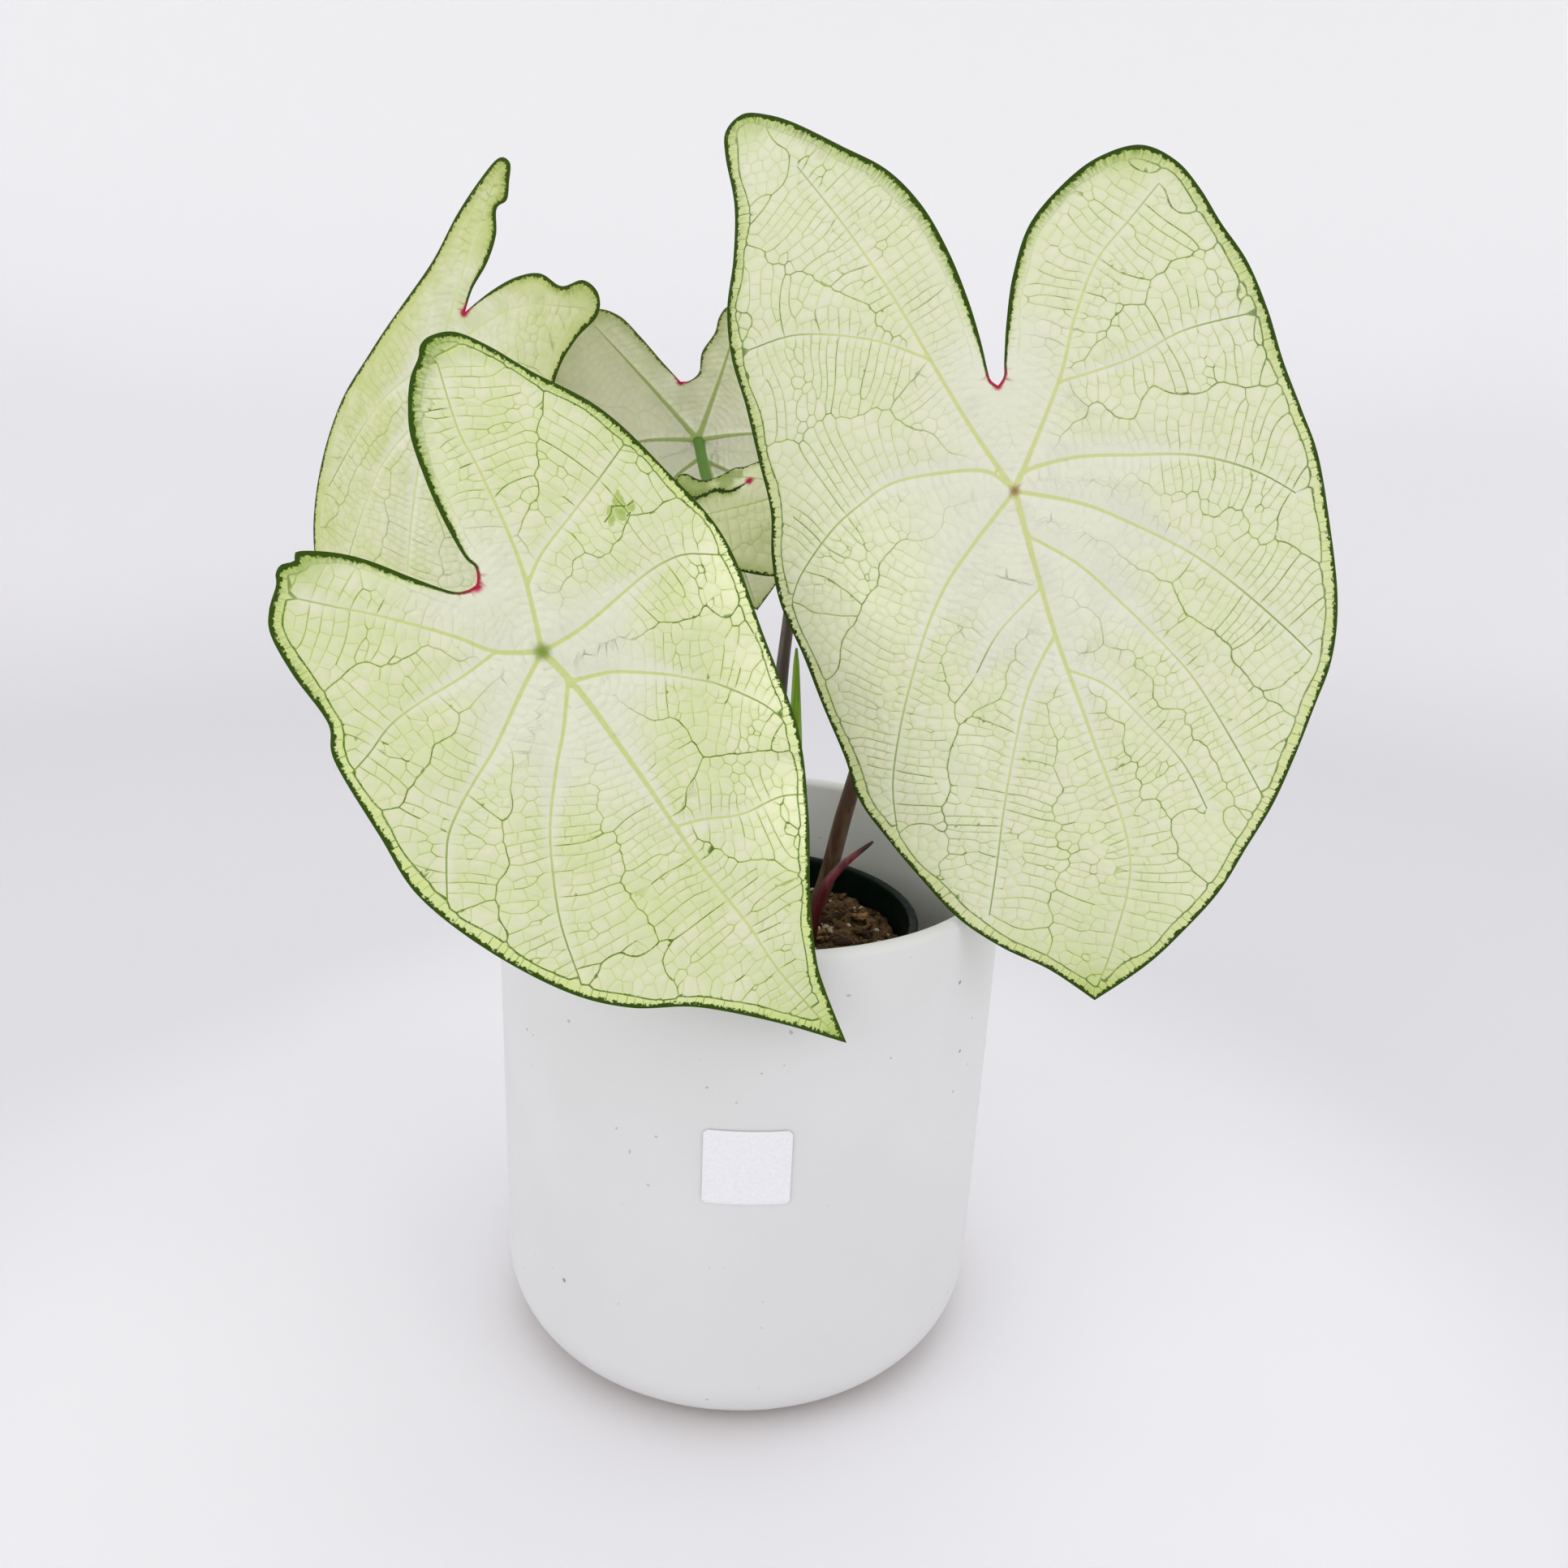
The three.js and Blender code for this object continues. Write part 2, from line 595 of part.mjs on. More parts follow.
// Bits of bark and perlite, sunk in the top of the soil and clear of the stalks
function soilChips(stalks) {
  const stems = stalks.map(({ curve }) => curve.getPointAt((SOIL_TOP - STALK_FOOT) / curve.getLength()));
  const random = seededRandom(CHIP_SEED);
  const chips = [];
  for (let i = 0; i < SOIL_CHIPS; i += 1) {
    const angle = 2 * Math.PI * random();
    const away = 41 * Math.sqrt(random());
    const radius = THREE.MathUtils.lerp(...CHIP_RADIUS, random() ** 2);
    const x = away * Math.cos(angle);
    const y = away * Math.sin(angle);
    const chip = new THREE.IcosahedronGeometry(radius, 0);
    chip.scale(1, 0.55 + 0.4 * random(), 0.4 + 0.3 * random());
    chip.rotateX(0.6 * (random() - 0.5));
    chip.rotateZ(Math.PI * random());
    chip.translate(x, y, soilHeight(x, y) - 0.3);
    if (stems.every((stem) => Math.hypot(stem.x - x, stem.y - y) > radius + CHIP_CLEAR)) chips.push(chip);
  }
  return chips;
}

function seededRandom(seed) {
  let state = seed;
  return () => {
    state = (state * 1103515245 + 12345) % 2147483648;
    return state / 2147483648;
  };
}

function soil(stalks) {
  const holes = stalks.map((stalk) => stalk.build(GAP));
  const hollow = tuberGeometry(GAP, SOIL_HEADROOM);
  return cutBy(joined([soilBody(), ...soilChips(stalks)]), [hollow, ...holes]);
}

const spike = pointedShoot(NEW_LEAF_SPIKE);
const redShoot = pointedShoot(RED_SHOOT);
const petioles = Object.values(LEAVES).map((leaf) => new Petiole(new Blade(leaf)));

const group = new THREE.Group();
group.add(
  named('outer_pot', outerPot(), 0xe9e8e6, 0.55),
  named('label', label(), 0xf4f3f0, 0.8),
  named('nursery_pot', nurseryPot(), 0x12382c, 0.45),
  named('soil', soil([...petioles, spike, redShoot]), 0x3a2a1f, 0.95),
  named('tuber', tuberGeometry(), 0x6b4e35, 0.9),
  named('new_leaf_spike', spike.build(), 0x7d9a52, 0.5),
  named('red_shoot', redShoot.build(), 0x8c3046, 0.45),
);
for (const [name, leaf] of Object.entries(LEAVES)) group.add(...leafMeshes(name, leaf));

export default group;
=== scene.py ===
import math

import bmesh
import bpy
import numpy as np
from mathutils import Matrix, Vector, noise
from mathutils.geometry import delaunay_2d_cdt
from mathutils.kdtree import KDTree


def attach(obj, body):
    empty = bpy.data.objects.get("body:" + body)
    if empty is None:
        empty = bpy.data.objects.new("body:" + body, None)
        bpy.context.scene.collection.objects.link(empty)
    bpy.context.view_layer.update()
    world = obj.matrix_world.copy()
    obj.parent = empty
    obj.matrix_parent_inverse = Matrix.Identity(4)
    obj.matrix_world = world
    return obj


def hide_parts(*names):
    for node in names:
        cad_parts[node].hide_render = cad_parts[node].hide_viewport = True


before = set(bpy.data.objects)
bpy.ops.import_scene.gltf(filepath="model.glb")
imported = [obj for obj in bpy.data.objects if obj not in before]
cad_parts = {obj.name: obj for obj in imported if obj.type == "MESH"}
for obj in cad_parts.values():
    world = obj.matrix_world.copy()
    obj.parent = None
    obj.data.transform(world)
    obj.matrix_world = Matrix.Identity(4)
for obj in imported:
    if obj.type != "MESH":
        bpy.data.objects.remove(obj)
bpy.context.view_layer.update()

# A potted caladium: five net-veined blades on thin stalks, in a growing pot inside a plain ceramic pot.
# Lengths are in millimetres up to the line that makes each mesh, which turns them to metres.

MM = 0.001

# The pots, as in the frame
POT_RADIUS = 75
POT_HEIGHT = 150
POT_WALL = 5
POT_FLOOR = 5
POT_EDGE_RADIUS = 18
POT_INNER_EDGE_RADIUS = 12
LABEL_FROM_DEG = -7.5
LABEL_TO_DEG = 10
LABEL_BOTTOM = 79
LABEL_HEIGHT = 22
LABEL_LIFT = 0.32
LABEL_THICKNESS = 0.18
LABEL_CORNER = 1.0
LABEL_BEVEL = 0.14
LABEL_BEVEL_WIDTH = 0.3
NURSERY_BASE = 5.3
NURSERY_RIM = 129
NURSERY_TOP_RADIUS = 50
NURSERY_BASE_RADIUS = 38
NURSERY_WALL = 1.4
NURSERY_FLOOR = 2
NURSERY_LIP = 1.6
NURSERY_LIP_HEIGHT = 5
SOIL_TOP = 118
SOIL_BUMP = 1.1
HEAP = (10, -2)
HEAP_WIDTH = 32
HEAP_HEIGHT = 5
CROWN_TOP = 102
DRAIN_HOLES = 5
DRAIN_HOLE_RADIUS = 4
DRAIN_HOLES_OUT = 24
SOIL_CLEAR = 0.3
SOIL_RINGS = 46
SOIL_SIDES = 150
SCATTER_REACH = 45.5

# A blade's points. Each clearance keeps the points of one kind off those that were laid before, and the
# distances that the colours use are for a blade of the usual length.
USUAL_LENGTH = 125
BLADE_THICKNESS = 0.42
CLOSE_STEP = 0.2
MARGIN_STEP = 0.9
MARGIN_INSET = 0.2
MARGIN_ROWS = (0.5, 1.0, 1.6)
MARGIN_ROW_CLEAR = 0.2
VEIN_STEP = 1.1
VEIN_END_WIDTH = 0.34
VEIN_ROWS = (-1.4, -0.7, 0.7, 1.4)
VEIN_ROW_CLEAR = 0.1
LINE_BAND = 0.3
LINE_CLEAR = 0.16
LINE_SAMPLE_STEP = 0.16
CLOSE_RINGS = (0.4, 0.8, 1.2, 1.6, 2.0)
CLOSE_RING_CLEAR = 0.25
CELL_POINT_CLEAR = 0.3
SCAR_STEP = 0.3
SCAR_CLEAR = 0.22

# The cells of a blade's vein net
CELL_ALONG = 2.2
CELL_ACROSS = 3.8
CELL_CLEAR = 1.65
CELL_ROWS = 15
FIRST_CELL = 1.6
FILL_STEP = 1.3
FILL_CLEAR = 2.3
RING_STEPS = (1.2, 3.0)
RING_INSET = 1.7
RING_CLEAR = 1.2

# How strong the net's lines are, from 0 to about 1. A strong column comes 4 to 7 columns after the one
# before it, and the drawn levels are used again once all of them are.
LEVEL_COUNT = 97
STRONG_COUNT = 13
STRONG_GAPS = (4, 8)
COLUMNS_A_SIDE = 1000
RUNG_LEVEL = 0.06
FINE_LEVELS = (0.05, 0.5)
COLUMN_LEVELS = (0.2, 0.42)
STRONG_LEVELS = (0.55, 0.8)
COLLECTOR_LEVELS = (0.5, 0.95)
SUBMARGIN_LEVEL = 1.15

# The five leaves. A blade is drawn flat with its stalk junction at (0, 0) and its tip down the -v axis,
# and bent and turned as the frame's blade of the same name. A vein starts with its width, and one that
# doesn't start at the junction starts on the nearest point of a vein before it.
# Each leaf's painted light lists spots in millimetres, each with a radius, where its colour is lifted as
# painted light.
LEAVES = {
    "leaf_a": {
        "junction": (60.2, -40, 259.7),
        "tilt": 8, "pan": -12, "spin": 14.8,
        "drop": {"left": 18, "right": 20, "tip": 0, "lobe": 10},
        "wave": 1.3, "waves": 7,
        "left": [
            (0, -130), (-10, -121), (-21, -114), (-31, -105), (-39, -93), (-46, -81), (-51.5, -70),
            (-53.5, -58), (-57, -44), (-60, -30), (-63.5, -16), (-63.5, -4), (-61.5, 8), (-62.5, 22),
            (-63.5, 36), (-65, 48), (-64, 60), (-60, 72), (-57.5, 85), (-58, 98), (-57, 104.5),
            (-52, 107.5), (-46, 105.5), (-39, 101), (-28, 91.5), (-18, 82.5), (-11, 71.5), (-6.5, 59),
            (-3.8, 47), (-2.4, 37), (-1.9, 30), (-1.5, 27), (0, 25.3),
        ],
        "right": [
            (0, -130), (14, -122), (24, -114.5), (34, -106), (42, -96.5), (50, -87), (57, -76),
            (63, -65), (68.5, -54), (71.5, -40), (72, -20), (71.5, -5), (69, 6), (66, 18), (64, 30),
            (61, 42), (56.5, 52), (53, 61), (48.5, 68.5), (41, 73.5), (31, 72.5), (22, 68),
            (13, 60.5), (7.5, 50), (4.4, 40), (2.4, 31), (1.7, 27.2), (0, 25.3),
        ],
        "veins": [
            (1.7, [(0, 0), (4, -34), (9, -61), (14, -93), (7, -115), (2, -125)]),
            (1.5, [(0, 0), (-7, 15), (-13, 30), (-21, 51), (-30, 71), (-40, 90)]),
            (1.5, [(0, 0), (14, 23), (20, 37), (27, 49), (36, 57), (44, 64)]),
            (1.2, [(0, 0), (-6, 6), (-18, 8), (-29, 8), (-37, 5), (-46, 0), (-56, -9), (-60, -15)]),
            (1.3, [(0, 0), (3, 4), (15, 5), (28, 3), (43, 0), (56, -6), (65, -13)]),
            (1.2, [(0, 0), (15, -6), (26, -13), (38, -22), (48, -32), (58, -44), (64, -52)]),
            (1.2, [(0, 0), (-11, -10), (-19, -18), (-26, -28), (-33, -42), (-38, -54), (-42, -67),
                   (-43, -79)]),
            (0.8, [(-15, 35), (-28, 43), (-46, 49), (-60, 49)]),
            (0.8, [(14, 23), (31, 25), (44, 29), (59, 30)]),
            (0.9, [(1, -11), (12, -20), (20, -30), (30, -44), (36, -54), (43, -71), (48, -85)]),
            (0.9, [(4, -36), (-4, -48), (-10, -63), (-15, -78), (-19, -92), (-23, -105)]),
            (0.7, [(7, -45), (15, -51), (23, -62), (30, -73), (34, -85)]),
            (0.6, [(3, -24), (-9, -33), (-16, -42)]),
        ],
        "stalk": [(16.5, 9), (22.4, 9.5, 132), (28.2, 5, 163), (38, -2, 205), (53, -14, 245)],
        "radius": (3, 1.9),
        "band": 3.1,
        "blush": (1.1, 5.5),
        "painted_light": [(-44, -14, 34)],
    },
    "leaf_b": {
        "junction": (-47.7, -78, 223.4),
        "tilt": 20, "pan": 20, "spin": 35,
        "drop": {"left": 15, "right": 15, "tip": 3, "lobe": 10},
        "wave": 1.4, "waves": 7,
        "left": [
            (-1, -117), (-11, -101), (-23, -85), (-34.5, -74.5), (-43, -62), (-50, -43.5), (-53.5, -25),
            (-51.5, -10), (-48.5, 8), (-44.5, 15), (-43.5, 27), (-41.7, 36), (-38.7, 40.2), (-34.4, 43.4),
            (-33, 45.3), (-31, 46.2), (-28.4, 45.3), (-26.6, 46.5), (-21.1, 42.2), (-16.6, 36.8),
            (-11.9, 28.9), (-7.3, 21.8), (-4.6, 20), (-2.3, 19.7),
        ],
        "right": [
            (-1, -117), (2.5, -104), (6, -95), (14.5, -82), (26, -68), (37.5, -51), (45, -28),
            (52.5, -4), (50.5, 17), (47, 36), (39.5, 51), (35.5, 60), (31.1, 66.6), (25.9, 68.6),
            (22.5, 68), (20.2, 65.9), (16, 63.3), (11.8, 59), (7.4, 52.7), (3.6, 42.7), (1.2, 34),
            (-0.2, 26), (0.2, 23), (-1.1, 20.6), (-2.3, 19.7),
        ],
        "veins": [
            (1.9, [(0, 0), (1, -12), (0, -34), (-1, -47), (-2, -62), (-2, -78), (-3, -92), (-2, -114)]),
            (1.4, [(0, 0), (7, 14), (11, 25), (15, 40), (17, 49), (23, 63)]),
            (1.4, [(0, 0), (-8, 6), (-13, 14), (-22, 26), (-28, 33), (-33, 39)]),
            (1.2, [(0, 0), (-9, -4), (-21, -10), (-29, -13), (-36, -16), (-42, -20), (-50, -30)]),
            (1.2, [(0, 0), (8, -1), (15, -1), (22, -0.6), (30, -0.2), (36, -0.6), (42, -2.3), (50, -8)]),
            (1.1, [(1, -9), (9, -12.5), (14, -16.2), (20, -21.4), (24, -25.6), (28.3, -30.4), (34, -40),
                   (36, -46)]),
            (1.1, [(0, -8), (-7, -16), (-14, -22), (-23, -31), (-30, -41), (-35, -50), (-39, -61)]),
            (0.9, [(7, 13), (14, 17), (25, 20), (36, 23), (46, 26)]),
            (0.8, [(-8, 6), (-17, 6), (-27, 7), (-35, 7), (-42, 5), (-47, 4)]),
            (0.8, [(-1, -49), (5, -52), (13, -57), (23, -60), (29, -64)]),
        ],
        "stalk": [(3.5, -3.5), (-3, -10, 145), (-17, -28, 182), (-36, -56, 211)],
        "radius": (3, 1.8),
        "band": 2.6,
        "blush": (1.8, 5),
        "hub": 3,
        "scar": [
            ((37.6, 18.5), 0.2, (35.8, 16.3), 1.5), ((35.3, 14.9), 1.8, (34.3, 13.5), 1.4),
            ((33.2, 16.4), 0.7, (32.3, 15.7), 0.6), ((32.6, 14.7), 0.7, (31.1, 13.2), 0.9),
            ((37, 13.4), 0.8, (38.2, 14.1), 0.85), ((34.8, 12.3), 0.5, (34.2, 11.5), 0.4),
        ],
        "cracks": [
            ((33.8, 16.4), (36.4, 14.7)), ((33.7, 16.1), (32.5, 15.1)), ((32.5, 15.1), (30.1, 14.4)),
            ((37.2, 14.4), (39, 14.5)), ((35.3, 12.6), (36.5, 12.8)),
        ],
        "painted_light": [(44, -40, 26), (52, -14, 24), (26, -66, 22)],
    },
    "leaf_c": {
        "junction": (-98.9, 40, 286.2),
        "tilt": 5, "pan": -15, "spin": -10.4,
        "drop": {"left": 50, "right": 10, "tip": 10, "lobe": 10},
        "wave": 1.2, "waves": 6,
        "left": [
            (1, -113), (-19, -103), (-32, -92), (-38.5, -80), (-42, -61), (-40, -40), (-34, -20),
            (-25, -4.5), (-15, 12), (-7, 26), (-2, 40), (3, 51), (7, 57.5), (10.5, 57), (11.5, 52),
            (12, 47), (9.5, 44), (11, 37), (10, 29), (7, 21), (6, 14),
        ],
        "right": [
            (1, -113), (12, -101), (24, -84), (34, -62), (38, -38), (37, -18), (37.5, 3), (41, 14),
            (46, 22), (45, 28), (40, 30.5), (34, 27.5), (27, 29.5), (20, 27), (13, 21.5), (6, 14),
        ],
        "veins": [
            (1.5, [(0, 0), (-2, -55), (1, -108)]),
            (1.2, [(0, 0), (3, 24), (7, 50)]),
            (1.2, [(0, 0), (20, 18), (40, 23)]),
            (1.1, [(0, 0), (-18, -17), (-36, -47)]),
            (1.1, [(0, 0), (18, -10), (34, -30)]),
            (1.0, [(-1, -12), (14, -34), (27, -70)]),
            (1.0, [(-1, -16), (-16, -38), (-29, -80)]),
        ],
        "stalk": [(3.5, 9.5), (-3, 22, 150), (-26, 42, 200), (-62, 61, 250), (-90, 60, 281)],
        "radius": (2.8, 1.7),
        "band": 2.8,
        "blush": (1.5, 4),
        "soft_rim": 1,
        "comb": 1,
        "mottle": 0.5,
        "painted_light": [(16, -58, 26), (26, -24, 24), (-2, -52, 22), (12, 3, 12)],
    },
    "leaf_d": {
        "junction": (-23.6, 80, 265.2),
        "tilt": 25, "pan": 180, "spin": -18.7,
        "drop": {"left": 10, "right": 10, "tip": 10, "lobe": 10},
        "wave": 1.2, "waves": 6,
        "left": [
            (0, -69), (-8, -62), (-20, -51), (-32, -36), (-40, -17), (-40, 5), (-35, 24), (-29, 37),
            (-24, 40), (-20, 37.5), (-17, 33), (-11, 28), (-8, 22), (-4, 20), (-1, 20.5),
        ],
        "right": [
            (0, -69), (12, -58), (25, -44), (38, -26), (44, -4), (44, 17), (38, 35), (28, 47),
            (17, 51), (10, 47), (6, 38.5), (2.5, 29), (-1, 20.5),
        ],
        "veins": [
            (2.6, [(0, 0), (0, -33), (0, -65)]),
            (2.4, [(0, 0), (9, 23), (18, 46)]),
            (2.4, [(0, 0), (-15, 20), (-26, 36)]),
            (2.1, [(0, 0), (21, 5), (41, 0)]),
            (2.1, [(0, 0), (-19, -3), (-37, -10)]),
            (1.8, [(0, -6), (16, -14), (30, -36)]),
            (1.8, [(0, -8), (-13, -22), (-22, -47)]),
        ],
        "stalk": [(10, 16), (7, 23, 150), (-1, 44, 200), (-14, 64, 238), (-20.5, 73, 254)],
        "radius": (2.6, 1.8),
        "band": 2.4,
        "blush": (1.3, 3.5),
        "soft_rim": 1,
        "comb": 0.5,
        "mottle": 0.4,
        "flare": 0.12,
    },
    "leaf_e": {
        "junction": (9.4, 12, 254.4),
        "tilt": 42, "pan": -10, "spin": 89.2,
        "drop": {"left": 80, "right": 80, "tip": 10, "lobe": 10},
        "wave": 2, "waves": 6,
        "left": [
            (0, -48), (-10, -38), (-19, -23), (-24.5, -6), (-26.5, 6), (-24, 20), (-18, 32),
            (-12, 37.5), (-7.5, 36), (-5.5, 33), (-4.95, 29.6), (-3.3, 26.6), (-2.05, 24.1), (-2.45, 20.9),
            (-1.5, 18.6), (2, 14.9),
        ],
        "right": [
            (0, -48), (9, -38), (16, -24), (19, -8), (15, 5), (10.5, 12.5), (7.3, 17.5), (6.8, 20.3),
            (3.6, 24), (1.6, 27.9), (2, 30.8), (4, 34.6), (2.6, 37), (-0.5, 36.5), (-3.6, 33),
            (-4.7, 29.6), (-3.1, 26.5), (-1.8, 24.1), (-2.2, 20.9), (-1.3, 18.7), (2, 14.9),
        ],
        "veins": [
            (1.2, [(0, 0), (0, -24), (0, -45)]),
            (1.0, [(0, 0), (-6, 14), (-12, 33)]),
            (1.0, [(0, 0), (-12, 1), (-24, 3)]),
            (0.9, [(0, 0), (3, 12), (3.5, 24)]),
            (0.9, [(0, -3), (-9, -12), (-20, -22)]),
            (0.9, [(0, -3), (8, -10), (15, -22)]),
        ],
        "stalk": [(10.5, 3.5), (7, 4, 150), (6.4, 4, 198), (8.2, 6.5, 222), (10, 14, 243)],
        "radius": (2.6, 1.6),
        "band": 1.8,
        "blush": (1.5, 0),
        "soft_rim": 1,
        "comb": 0.35,
        "painted_shade_patches": [(0, 31, 7), (3, 23, 4.5), (4.5, 18.5, 2.5)],
    },
}


# Small tools

def smooth(low, high, value):
    share = np.clip((np.asarray(value, float) - low) / (high - low), 0, 1)
    return share * share * (3 - 2 * share)


def mixed(a, b, share):
    return a + (b - a) * share


def lengths_along(points):
    return np.r_[0, np.cumsum(np.linalg.norm(np.diff(points, axis=0), axis=1))]


def at_length(points, lengths, at):
    """The points at some lengths along a line of points."""
    return np.column_stack([np.interp(at, lengths, column) for column in points.T])


def evenly(points, step):
    lengths = lengths_along(points)
    count = max(2, round(lengths[-1] / step)) + 1
    return at_length(points, lengths, np.linspace(0, lengths[-1], count))


def unit(way):
    return way / max(1e-9, math.hypot(way[0], way[1]))


def cross(a, b):
    """The cross product of flat vectors. It is above 0 where b points to the left of a."""
    return a[..., 0] * b[..., 1] - a[..., 1] * b[..., 0]


def away_from(points, place):
    return np.linalg.norm(points - np.asarray(place), axis=1)


def left_of(ways):
    """Unit vectors to the left of some flat directions."""
    reach = np.maximum(1e-9, np.linalg.norm(ways, axis=1))
    return np.column_stack([-ways[:, 1], ways[:, 0]]) / reach[:, None]


def rounded_middles(triangles):
    """The centre of each triangle's circle, or the nearest point of the triangle to it."""
    a, b, c = triangles.transpose(1, 0, 2)
    weights = []
    for p, q, r in ((a, b, c), (b, c, a), (c, a, b)):
        weights.append(((q - p) * (r - p)).sum(1) * ((q - r) ** 2).sum(1))
    weights = np.maximum(np.column_stack(weights), 0.02 * np.abs(weights).sum(0)[:, None])
    weights /= weights.sum(1)[:, None]
    return (triangles * weights[..., None]).sum(1)


def cubic(p1, p2, slope1, slope2, t):
    return ((2 * p1 - 2 * p2 + slope1 + slope2) * t**3
            + (3 * p2 - 3 * p1 - 2 * slope1 - slope2) * t**2 + slope1 * t + p1)


def flat_curve(points, step):
    """Even points on a smooth flat curve through the given ones."""
    points = np.asarray(points, float)
    padded = np.vstack([points[:1], points, points[-1:]])
    t = np.linspace(0, 1, 24, endpoint=False)[:, None]
    parts = [
        cubic(p1, p2, (p2 - p0) / 2, (p3 - p1) / 2, t)
        for p0, p1, p2, p3 in zip(padded, padded[1:], padded[2:], padded[3:])
    ]
    return evenly(np.vstack(parts + [points[-1:]]), step)


def space_curve(points, step):
    """Even points on a smooth curve in space, with its knots spaced by the root of their distance."""
    points = np.asarray(points, float)
    padded = np.vstack([2 * points[0] - points[1], points, 2 * points[-1] - points[-2]])
    t = np.linspace(0, 1, 40, endpoint=False)[:, None]
    parts = []
    for p0, p1, p2, p3 in zip(padded, padded[1:], padded[2:], padded[3:]):
        d0, d1, d2 = (math.sqrt(np.linalg.norm(b - a)) for a, b in ((p0, p1), (p1, p2), (p2, p3)))
        slope1 = d1 * ((p1 - p0) / d0 - (p2 - p0) / (d0 + d1) + (p2 - p1) / d1)
        slope2 = d1 * ((p2 - p1) / d1 - (p3 - p1) / (d1 + d2) + (p3 - p2) / d2)
        parts.append(cubic(p1, p2, slope1, slope2, t))
    return evenly(np.vstack(parts + [points[-1:]]), step)


def tree_of(points):
    tree = KDTree(len(points))
    for index, (x, y) in enumerate(points):
        tree.insert((x, y, 0), index)
    tree.balance()
    return tree


def nearest(tree, points):
    """The index of the tree's point that is nearest to each point, and how far it is."""
    found = [tree.find((x, y, 0)) for x, y in points]
    return np.array([f[1] for f in found]), np.array([f[2] for f in found])


def drift(points, seed, size):
    """A smooth random number from about -1 to 1 for each flat point, which changes over about size mm."""
    random = np.random.default_rng(seed)
    total = np.zeros(len(points))
    for angle, phase, scale in random.random((5, 3)):
        turn = 2 * math.pi * angle
        wave = points[:, 0] * math.cos(turn) + points[:, 1] * math.sin(turn)
        total += np.sin(wave * (2.2 + 2.2 * scale) / size + 2 * math.pi * phase)
    return total / 2.4


def from_segment(points, start, end):
    """How far each flat point is from a straight piece of line, and the share of its length nearest to it."""
    start = np.array(start)
    way = np.array(end) - start
    share = np.clip((points - start) @ way / way.dot(way), 0, 1)
    return away_from(points - np.outer(share, way), start), share


class Spaced:
    """A growing set of flat points that keep their distance from each other."""

    def __init__(self, clear):
        self.clear = clear
        self.cells = {}
        self.points = []

    def add(self, point, clear=None):
        clear = clear or self.clear
        x, y = point
        column = math.floor(x / self.clear)
        row = math.floor(y / self.clear)
        reach = math.ceil(clear / self.clear)
        for i in range(column - reach, column + reach + 1):
            for j in range(row - reach, row + reach + 1):
                for a, b in self.cells.get((i, j), ()):
                    if (a - x) ** 2 + (b - y) ** 2 < clear * clear:
                        return False
        self.cells.setdefault((column, row), []).append((x, y))
        self.points.append((x, y))
        return True


def make_object(name, points, faces, material, slot, smooth_faces=True):
    """A mesh from points in millimetres, which rides with the plant."""
    mesh = bpy.data.meshes.new(name)
    mesh.from_pydata((np.asarray(points) * MM).tolist(), [], [list(map(int, face)) for face in faces])
    mesh.materials.append(material)
    mesh.polygons.foreach_set("use_smooth", [smooth_faces] * len(mesh.polygons))
    mesh.update()
    piece = bpy.data.objects.new(name, mesh)
    bpy.context.scene.collection.objects.link(piece)
    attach(piece, "root")
    return piece


def closed_rings(rings, start, end):
    """The points and faces of a body from rings of points, closed by a fan of faces to each end point."""
    sides = len(rings[0])
    points = np.vstack([[start], *rings, [end]])
    last = 1 + (len(rings) - 1) * sides
    faces = [(0, 1 + (i + 1) % sides, 1 + i) for i in range(sides)]
    for first in range(1, last, sides):
        for i in range(sides):
            a = first + i
            b = first + (i + 1) % sides
            faces.append((a, b, b + sides, a + sides))
    faces += [(len(points) - 1, last + i, last + (i + 1) % sides) for i in range(sides)]
    return points, faces


def circle(radius, sides):
    turns = [2 * math.pi * i / sides for i in range(sides)]
    return [(radius * math.cos(turn), radius * math.sin(turn)) for turn in turns]


def turned(profile, sides):
    """A closed lathe from (radius, height) points that start and end on the axis."""
    rings = [[(x, y, height) for x, y in circle(radius, sides)] for radius, height in profile[1:-1]]
    return closed_rings(rings, (0, 0, profile[0][1]), (0, 0, profile[-1][1]))


def arc(centre, radius, start, end, steps):
    angles = np.radians(np.linspace(start, end, steps + 1))
    return [(centre[0] + radius * math.cos(a), centre[1] + radius * math.sin(a)) for a in angles]


# Materials

def linear(red, green, blue):
    """A colour as seen on a screen, from 0 to 255, as the linear one that a shader takes."""
    values = [c / 255 for c in (red, green, blue)]
    return [c / 12.92 if c <= 0.04045 else ((c + 0.055) / 1.055) ** 2.4 for c in values] + [1]


